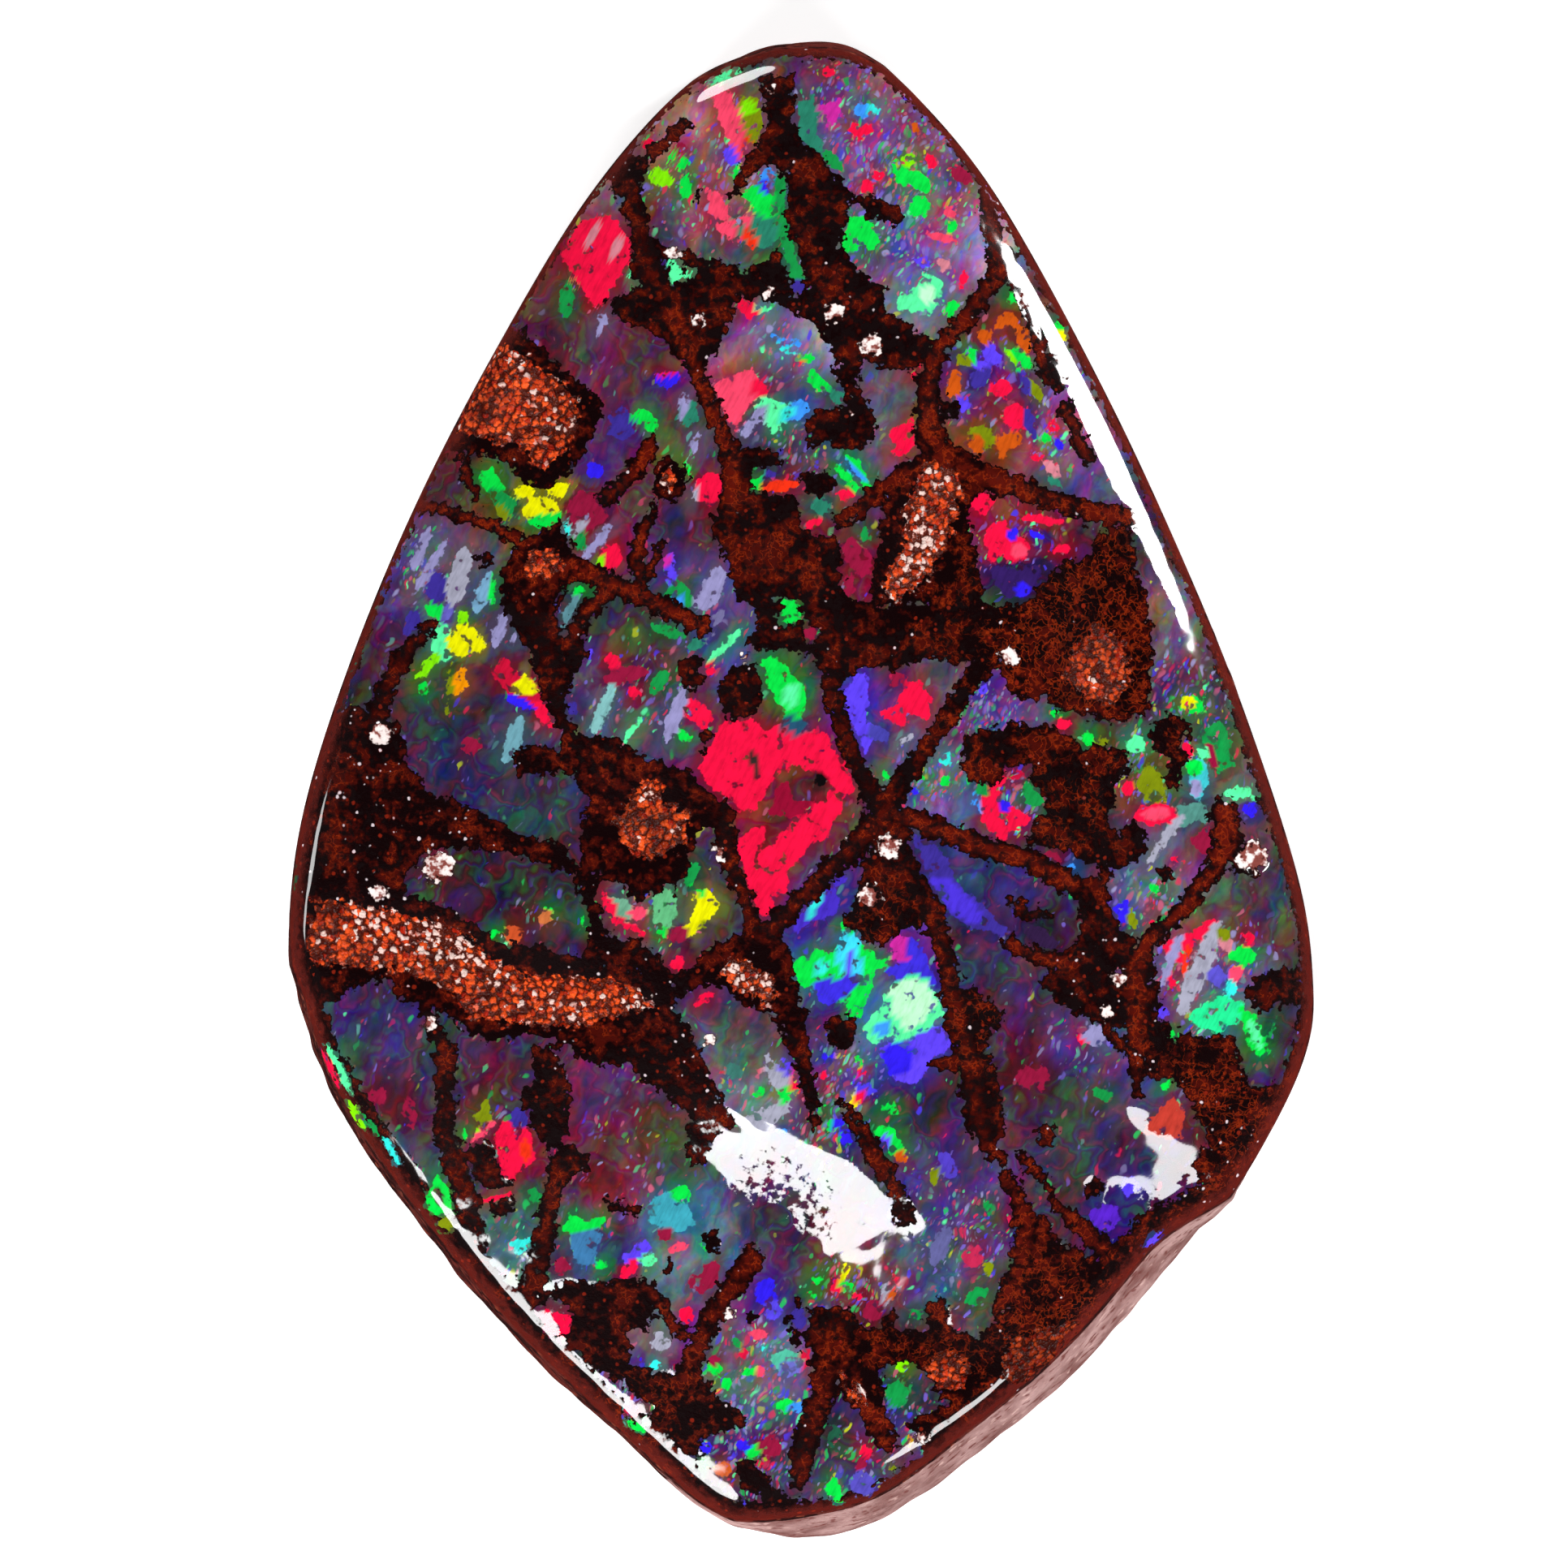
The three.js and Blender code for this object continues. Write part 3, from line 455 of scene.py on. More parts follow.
# Lens-shaped flashes by colour, which lie over the others: from and to, and the width in the middle
FLASH_LENSES = [
    (SCARLET, [
        (918, 168, 922, 192, 8), (919, 283, 929, 308, 14), (1466, 1166, 1460, 1204, 8),
        (646, 1404, 648, 1430, 8)
    ]),
    (LIME, [
        (1236, 430, 1254, 448, 7), (540, 804, 512, 836, 13), (1502, 1026, 1507, 1044, 10),
        (428, 1356, 450, 1392, 15), (580, 1402, 600, 1392, 8)
    ]),
    ((205, 90, 110), [(930, 1312, 934, 1326, 9)]),
    (BLUE, [
        (1243, 664, 1254, 652, 9), (1270, 656, 1288, 664, 9), (622, 858, 658, 874, 11),
        (1232, 986, 1244, 998, 10), (790, 1672, 792, 1686, 9), (1010, 1304, 1028, 1300, 12),
        (1008, 1610, 1016, 1612, 9)
    ]),
    ((80, 65, 190), [(1096, 1720, 1098, 1750, 12)]),
    ((220, 220, 0), [(1034, 1570, 1044, 1594, 9)]),
    ((210, 140, 20), [(1118, 1768, 1122, 1784, 10)]),
    ((90, 140, 150), [(712, 728, 690, 776, 12)]),
    ((235, 150, 30), [(1034, 1297, 1046, 1310, 6)]),
    (MINT, [
        (868, 103, 915, 82, 10), (914, 776, 872, 816, 13), (794, 878, 768, 918, 9),
        (1540, 1256, 1554, 1292, 8), (618, 1158, 630, 1168, 6), (400, 1286, 434, 1350, 13)
    ]),
    (YELLOW, [(645, 828, 648, 844, 6), (1042, 1556, 1043, 1572, 7)]),
    ((30, 90, 66), [(1026, 1754, 1032, 1790, 18)]),
    ((110, 110, 205), [(960, 1694, 984, 1682, 20)]),
    (ORANGE, [(1124, 146, 1130, 164, 10)]),
    (BLUSH, [(738, 274, 721, 304, 8), (766, 290, 752, 316, 10), (1288, 570, 1308, 586, 14)]),
    (WINE, [
        (1172, 208, 1198, 222, 18), (1042, 708, 1048, 736, 16), (740, 838, 800, 826, 20),
        (1488, 916, 1498, 948, 12), (1286, 1312, 1282, 1344, 16), (500, 1350, 508, 1390, 18),
        (860, 1596, 884, 1556, 24), (826, 1690, 844, 1680, 12)
    ]),
    (CYAN, [
        (954, 425, 984, 436, 5), (694, 642, 701, 660, 8), (994, 1136, 1012, 1104, 7),
        (468, 1392, 492, 1438, 10), (940, 1658, 942, 1668, 6)
    ]),
    (VIOLET, [
        (1128, 318, 1148, 326, 13), (725, 798, 728, 814, 7), (1046, 1172, 1046, 1202, 9),
        (1410, 1538, 1434, 1518, 10), (968, 1302, 970, 1326, 13), (1088, 1400, 1096, 1416, 9)
    ]),
    ((70, 65, 170), [(1070, 896, 1096, 912, 18)]),
    (OLIVE, [
        (1180, 436, 1194, 450, 12), (1269, 466, 1282, 494, 15), (612, 622, 628, 650, 12),
        (556, 812, 550, 880, 7), (1394, 1118, 1398, 1148, 9), (862, 1136, 872, 1144, 5),
        (1152, 1438, 1150, 1462, 12), (1216, 1554, 1220, 1574, 12), (1096, 1802, 1102, 1814, 9)
    ]),
    ((85, 75, 180), [(686, 742, 672, 792, 10)]),
    ((100, 95, 190), [(560, 732, 546, 768, 12)]),
    (CRIMSON, [
        (1184, 358, 1191, 330, 10), (803, 461, 838, 457, 4), (980, 436, 988, 452, 6),
        (1140, 443, 1124, 466, 9), (988, 652, 1012, 638, 12), (1258, 638, 1312, 642, 12),
        (1292, 677, 1320, 676, 10), (1222, 972, 1240, 958, 10), (1398, 1006, 1450, 1002, 27),
        (1459, 912, 1468, 934, 12), (1444, 1054, 1460, 1064, 10), (1412, 1130, 1428, 1142, 6),
        (1420, 1108, 1424, 1128, 5), (1440, 1192, 1446, 1220, 12), (1332, 1268, 1336, 1290, 10),
        (738, 1094, 760, 1134, 11), (752, 1132, 796, 1152, 10), (394, 1292, 418, 1344, 9),
        (594, 1482, 630, 1470, 9), (764, 1576, 786, 1556, 15), (664, 1626, 680, 1614, 7),
        (853, 1240, 880, 1222, 10), (887, 1320, 890, 1336, 7), (1012, 1320, 1020, 1342, 9),
        (1050, 1594, 1064, 1604, 10), (1104, 1568, 1104, 1590, 10), (936, 1800, 938, 1812, 9)
    ]),
    ((120, 170, 205), [(604, 702, 586, 756, 19)]),
    ((95, 95, 150), [(1150, 1560, 1168, 1510, 22)]),
    ((52, 40, 38), [(928, 926, 932, 956, 6)]),
    ((130, 190, 190), [(756, 842, 730, 906, 17)]),
    ((80, 60, 190), [(1160, 1420, 1176, 1452, 22)]),
    ((48, 26, 66), [(1262, 1142, 1304, 1168, 22)]),
    (INDIGO, [
        (1266, 500, 1275, 542, 13), (1258, 458, 1266, 486, 14), (534, 704, 540, 744, 26),
        (512, 752, 502, 788, 20), (982, 1610, 988, 1640, 20)
    ]),
    ((75, 50, 215), [(1150, 1082, 1210, 1138, 26)]),
    (LEAF, [
        (1012, 182, 1038, 212, 14), (700, 345, 696, 392, 18), (1066, 648, 1066, 670, 12),
        (802, 768, 844, 786, 14), (800, 856, 824, 828, 18), (1562, 1284, 1574, 1252, 7),
        (1346, 1344, 1372, 1356, 16), (862, 1062, 842, 1094, 14), (444, 1370, 470, 1404, 10),
        (650, 1468, 668, 1480, 16), (1120, 1622, 1138, 1616, 14), (1188, 1606, 1216, 1590, 18),
        (1216, 1478, 1220, 1500, 10), (904, 1650, 912, 1664, 12)
    ]),
    (ROSE, [
        (1138, 286, 1182, 296, 12), (1408, 1004, 1442, 1000, 13), (578, 1410, 610, 1384, 9),
        (824, 1542, 850, 1534, 12)
    ]),
    (GREEN, [
        (909, 202, 907, 222, 13), (846, 215, 843, 246, 16), (838, 560, 852, 588, 7),
        (1040, 558, 1076, 602, 13), (1028, 572, 1060, 606, 11), (608, 706, 606, 744, 8),
        (1089, 950, 1096, 966, 12), (1028, 1136, 1050, 1148, 8), (1294, 876, 1312, 884, 7),
        (1432, 1344, 1444, 1330, 8), (850, 1090, 868, 1102, 8), (602, 1158, 618, 1144, 8),
        (672, 1118, 682, 1128, 7), (718, 1128, 720, 1144, 5), (564, 1482, 572, 1468, 9),
        (572, 1392, 574, 1404, 7), (860, 1532, 870, 1542, 8), (772, 1752, 796, 1766, 12),
        (926, 1352, 944, 1342, 9), (896, 1346, 899, 1332, 9), (1052, 1304, 1064, 1312, 6),
        (1016, 1362, 1028, 1368, 6), (994, 1592, 1006, 1600, 9), (866, 1796, 870, 1812, 10)
    ]),
    ((45, 25, 20), [(539, 1466, 541, 1486, 8)]),
    (SKY, [
        (948, 412, 988, 424, 6), (1034, 563, 1066, 592, 5), (1200, 978, 1206, 1002, 7),
        (952, 1396, 970, 1394, 7)
    ]),
    (PEARL, [
        (858, 600, 852, 622, 8), (722, 640, 704, 660, 9), (574, 672, 556, 746, 26),
        (1124, 903, 1106, 924, 5), (1458, 1004, 1412, 1066, 12), (1504, 1136, 1454, 1252, 25),
        (1092, 1580, 1094, 1612, 13)
    ]),
    ((110, 105, 150), [(892, 750, 866, 792, 14)]),
    ((110, 165, 180), [(642, 882, 622, 940, 22)]),
    ((60, 120, 110), [(896, 1312, 912, 1330, 20)]),
    (LILAC, [
        (746, 382, 734, 416, 13), (846, 478, 838, 518, 9), (861, 530, 850, 562, 10),
        (940, 498, 914, 542, 14), (756, 643, 714, 694, 12), (528, 650, 508, 706, 15),
        (550, 664, 508, 734, 12), (623, 752, 607, 800, 15), (637, 770, 630, 794, 9),
        (842, 846, 820, 918, 18), (1474, 960, 1474, 982, 11), (1456, 1152, 1430, 1216, 12)
    ]),
    (TEAL, [(1292, 588, 1310, 606, 14), (846, 800, 870, 786, 13)]),
    ((200, 20, 60), [(768, 1732, 788, 1748, 15)]),
]

# Round flashes by colour, which lie over all the others: place and radius
FLASH_DOTS = [
    ((200, 80, 40), [(632, 1152, 12)]),
    (CRIMSON, [
        (798, 176, 8), (1021, 86, 8), (1069, 229, 9), (1083, 216, 8), (1149, 196, 9), (938, 478, 10),
        (1279, 560, 7), (1298, 524, 8), (873, 823, 8), (754, 814, 9), (781, 854, 8), (1310, 893, 8),
        (1390, 972, 9), (1538, 1156, 9), (833, 1188, 10), (846, 1620, 10), (1063, 1322, 7), (1060, 1352, 7),
        (1066, 1790, 8)
    ]),
    (MINT, [(1287, 403, 7), (974, 858, 12), (1401, 916, 12), (1483, 928, 7), (799, 1554, 10)]),
    (TEAL, [(1032, 488, 11), (1012, 622, 12)]),
    (INDIGO, [(985, 352, 10), (950, 582, 8), (704, 872, 9), (640, 1378, 12)]),
    (ORANGE, [(1214, 414, 10), (1203, 548, 10), (1112, 1426, 7), (1100, 1598, 7), (890, 1812, 11)]),
    (ROSE, [
        (917, 270, 7), (1171, 260, 9), (1256, 678, 9), (1524, 1201, 10), (786, 1126, 10), (936, 1691, 8)
    ]),
    ((9, 5, 7), [(1010, 961, 8)]),
    (GREEN, [
        (830, 190, 8), (843, 200, 8), (1173, 278, 7), (995, 442, 7), (931, 595, 9), (1250, 366, 9),
        (1304, 404, 9), (1288, 540, 7), (521, 848, 7), (713, 725, 7), (1136, 963, 7), (1165, 962, 7),
        (1341, 911, 9), (1472, 946, 10), (1424, 1096, 7), (1447, 1276, 7), (816, 1148, 7), (662, 1578, 7),
        (741, 1560, 7), (839, 1470, 11), (967, 1350, 8), (1024, 1388, 7), (1044, 1586, 7), (1006, 1578, 7),
        (924, 1692, 7), (880, 1688, 9), (967, 1734, 9), (896, 1706, 7), (928, 1792, 9)
    ]),
    ((84, 34, 190), [(1362, 1500, 18)]),
    (VIOLET, [(1211, 849, 7), (1433, 1248, 8)]),
    ((90, 70, 235), [(952, 1616, 12)]),
    (CYAN, [
        (1077, 133, 7), (968, 508, 8), (1012, 1194, 8), (1165, 936, 8), (1518, 1219, 9), (806, 1683, 7)
    ]),
    (SKY, [(946, 212, 8), (835, 742, 8), (1088, 1268, 9), (982, 1736, 8)]),
    (YELLOW, [(1309, 414, 7), (640, 848, 8), (653, 848, 8), (1465, 866, 8)]),
    ((200, 15, 60), [(1254, 954, 9)]),
    (WINE, [
        (838, 182, 8), (580, 918, 12), (998, 780, 10), (1106, 838, 10), (1296, 1060, 14), (1266, 1328, 14),
        (836, 1152, 10), (464, 1352, 12), (820, 1522, 9), (858, 1582, 10), (692, 1562, 10),
        (1076, 1616, 14), (1114, 1582, 8), (880, 1676, 7), (950, 1784, 14), (1062, 1804, 9)
    ]),
    (BLUE, [
        (813, 322, 7), (1306, 548, 7), (1261, 727, 9), (732, 579, 12), (1106, 1306, 19), (1122, 974, 8),
        (1541, 998, 8), (1032, 1386, 8), (1044, 1402, 10), (914, 1784, 8), (870, 1784, 8)
    ]),
    (MAGENTA, [(818, 690, 8)]),
    (PALE_MINT, [(1143, 362, 10)]),
    ((90, 80, 200), [(1500, 1204, 12)]),
    (PEARL, [(812, 1656, 12)]),
    (LEAF, [(1210, 972, 8), (1106, 1718, 16)]),
    (LILAC, [(1350, 1276, 14)]),
    (BLUSH, [(1163, 325, 9), (1511, 1163, 9)]),
    ((200, 110, 60), [(671, 1132, 9)]),
    ((190, 40, 80), [(1200, 1548, 14)]),
    ((85, 60, 235), [(1393, 1462, 12)]),
    (LIME, [(922, 131, 9), (1120, 197, 9), (737, 692, 7), (1113, 1684, 8)]),
    (OLIVE, [(1358, 913, 7), (1510, 1150, 8), (548, 1510, 10)]),
    ((85, 75, 185), [(1064, 1830, 16)]),
]

# Veins of ironstone: how red their core is, and points with the vein's width there
VEINS = {
    "left of the narrow end": (0.2, [(760, 196, 46), (776, 240, 30), (790, 290, 28), (800, 335, 46)]),
    "bar by the narrow end": (0.5, [(795, 196, 18), (846, 150, 14)]),
    "branch of the column": (0.1, [(950, 165, 20), (925, 204, 22), (902, 240, 8)]),
    "left long vein": (0.9, [
        (828, 385, 34), (850, 440, 26), (868, 480, 24), (886, 525, 24), (905, 570, 30), (900, 620, 24)
    ]),
    "right bar": (0.9, [
        (1242, 318, 28), (1195, 385, 25), (1150, 440, 24), (1143, 478, 30), (1146, 540, 40)
    ]),
    "right rim vein": (0.6, [
        (1214, 240, 20), (1230, 318, 26), (1258, 352, 22), (1275, 400, 16), (1286, 446, 22)
    ]),
    "short bar": (0.8, [(1313, 502, 20), (1328, 536, 21), (1343, 566, 18)]),
    "long right bar": (0.7, [
        (1160, 566, 50), (1235, 596, 34), (1300, 616, 28), (1345, 630, 30), (1400, 640, 26)
    ]),
    "bar to the rust": (0.5, [(1034, 642, 20), (1070, 618, 26), (1102, 594, 30), (1150, 570, 36)]),
    "kite left": (0.1, [(1022, 835, 26), (1036, 890, 22), (1062, 955, 26), (1090, 1000, 40)]),
    "kite right": (0.0, [
        (1222, 800, 34), (1190, 850, 27), (1148, 912, 24), (1112, 962, 30), (1092, 1000, 40)
    ]),
    "hub to the lower left": (0.6, [
        (1086, 1006, 36), (1050, 1045, 30), (1010, 1086, 27), (970, 1124, 26), (940, 1155, 30)
    ]),
    "hub to the lower right": (0.8, [
        (1106, 1004, 26), (1150, 1020, 31), (1210, 1044, 31), (1270, 1060, 27), (1322, 1090, 32)
    ]),
    "right river bar": (0.7, [(1245, 1162, 18), (1272, 1176, 20), (1320, 1190, 30)]),
    "right diagonal": (0.8, [
        (1508, 1000, 38), (1516, 1040, 36), (1488, 1080, 26), (1455, 1124, 24), (1412, 1164, 26),
        (1398, 1196, 34)
    ]),
    "down the right": (0.4, [(1400, 1190, 42), (1404, 1250, 38), (1402, 1300, 26), (1401, 1350, 12)]),
    "small bar right": (0.4, [(1364, 1268, 12), (1380, 1286, 18), (1402, 1300, 18)]),
    "lower right bars": (0.7, [
        (1230, 1424, 16), (1250, 1466, 22), (1264, 1512, 32), (1258, 1560, 26), (1232, 1610, 22)
    ]),
    "lower right bar two": (0.8, [(1260, 1424, 15), (1282, 1446, 18), (1296, 1470, 10)]),
    "lower right bar three": (0.6, [(1296, 1478, 14), (1330, 1512, 24), (1366, 1542, 30)]),
    "black vein": (0.0, [(958, 1190, 34), (974, 1250, 38), (990, 1310, 24), (1006, 1385, 14)]),
    "small vein below": (0.1, [
        (1036, 1358, 12), (1056, 1385, 20), (1078, 1424, 28), (1102, 1462, 22), (1116, 1500, 26)
    ]),
    "column right of the mint": (0.4, [
        (1148, 1120, 34), (1160, 1160, 26), (1180, 1240, 28), (1196, 1310, 34), (1206, 1380, 36),
        (1222, 1425, 18)
    ]),
    "left tick": (1.0, [(566, 560, 14), (575, 588, 17), (588, 614, 10)]),
    "left bar": (1.0, [(512, 619, 16), (560, 631, 19), (612, 648, 19), (640, 672, 20)]),
    "left diagonal": (1.0, [(690, 694, 34), (740, 712, 26), (800, 739, 26), (868, 774, 24)]),
    "left trunk": (0.1, [(648, 736, 66), (668, 786, 50), (678, 834, 38), (690, 884, 22), (706, 918, 26)]),
    "left twig": (0.8, [(748, 728, 26), (722, 755, 22), (700, 790, 24)]),
    "left bars": (0.9, [(803, 540, 12), (793, 566, 27), (772, 592, 24), (745, 612, 24)]),
    "left bars low": (0.7, [(806, 628, 16), (788, 660, 19), (784, 690, 26), (790, 714, 20)]),
    "left bars right": (0.4, [(814, 672, 14), (798, 706, 18)]),
    "left edge bar": (0.3, [(532, 768, 16), (500, 802, 26), (474, 850, 26), (462, 884, 30)]),
    "beside the fan": (0.2, [(884, 1000, 34), (896, 1050, 26), (914, 1100, 20), (930, 1148, 26)]),
    "lower left vein": (0.1, [
        (520, 1240, 18), (546, 1288, 26), (548, 1350, 26), (548, 1400, 30), (566, 1452, 34),
        (582, 1510, 30), (592, 1560, 26)
    ]),
    "lower left vein two": (0.2, [(690, 1440, 26), (676, 1490, 26), (668, 1540, 30), (652, 1590, 34)]),
    "red bar low": (1.0, [(802, 1590, 18), (838, 1648, 16)]),
    "broad end vein": (0.6, [(925, 1552, 34), (890, 1600, 28), (864, 1650, 27), (846, 1696, 32)]),
    "broad end fork": (0.3, [(1030, 1640, 60), (1012, 1720, 34), (992, 1780, 34), (984, 1822, 26)]),
    "broad end fork right": (0.7, [(1034, 1660, 40), (1052, 1712, 34), (1076, 1752, 24), (1092, 1786, 14)]),
    "orange grain": (0.9, [(1508, 1002, 20), (1500, 1060, 16)]),
}

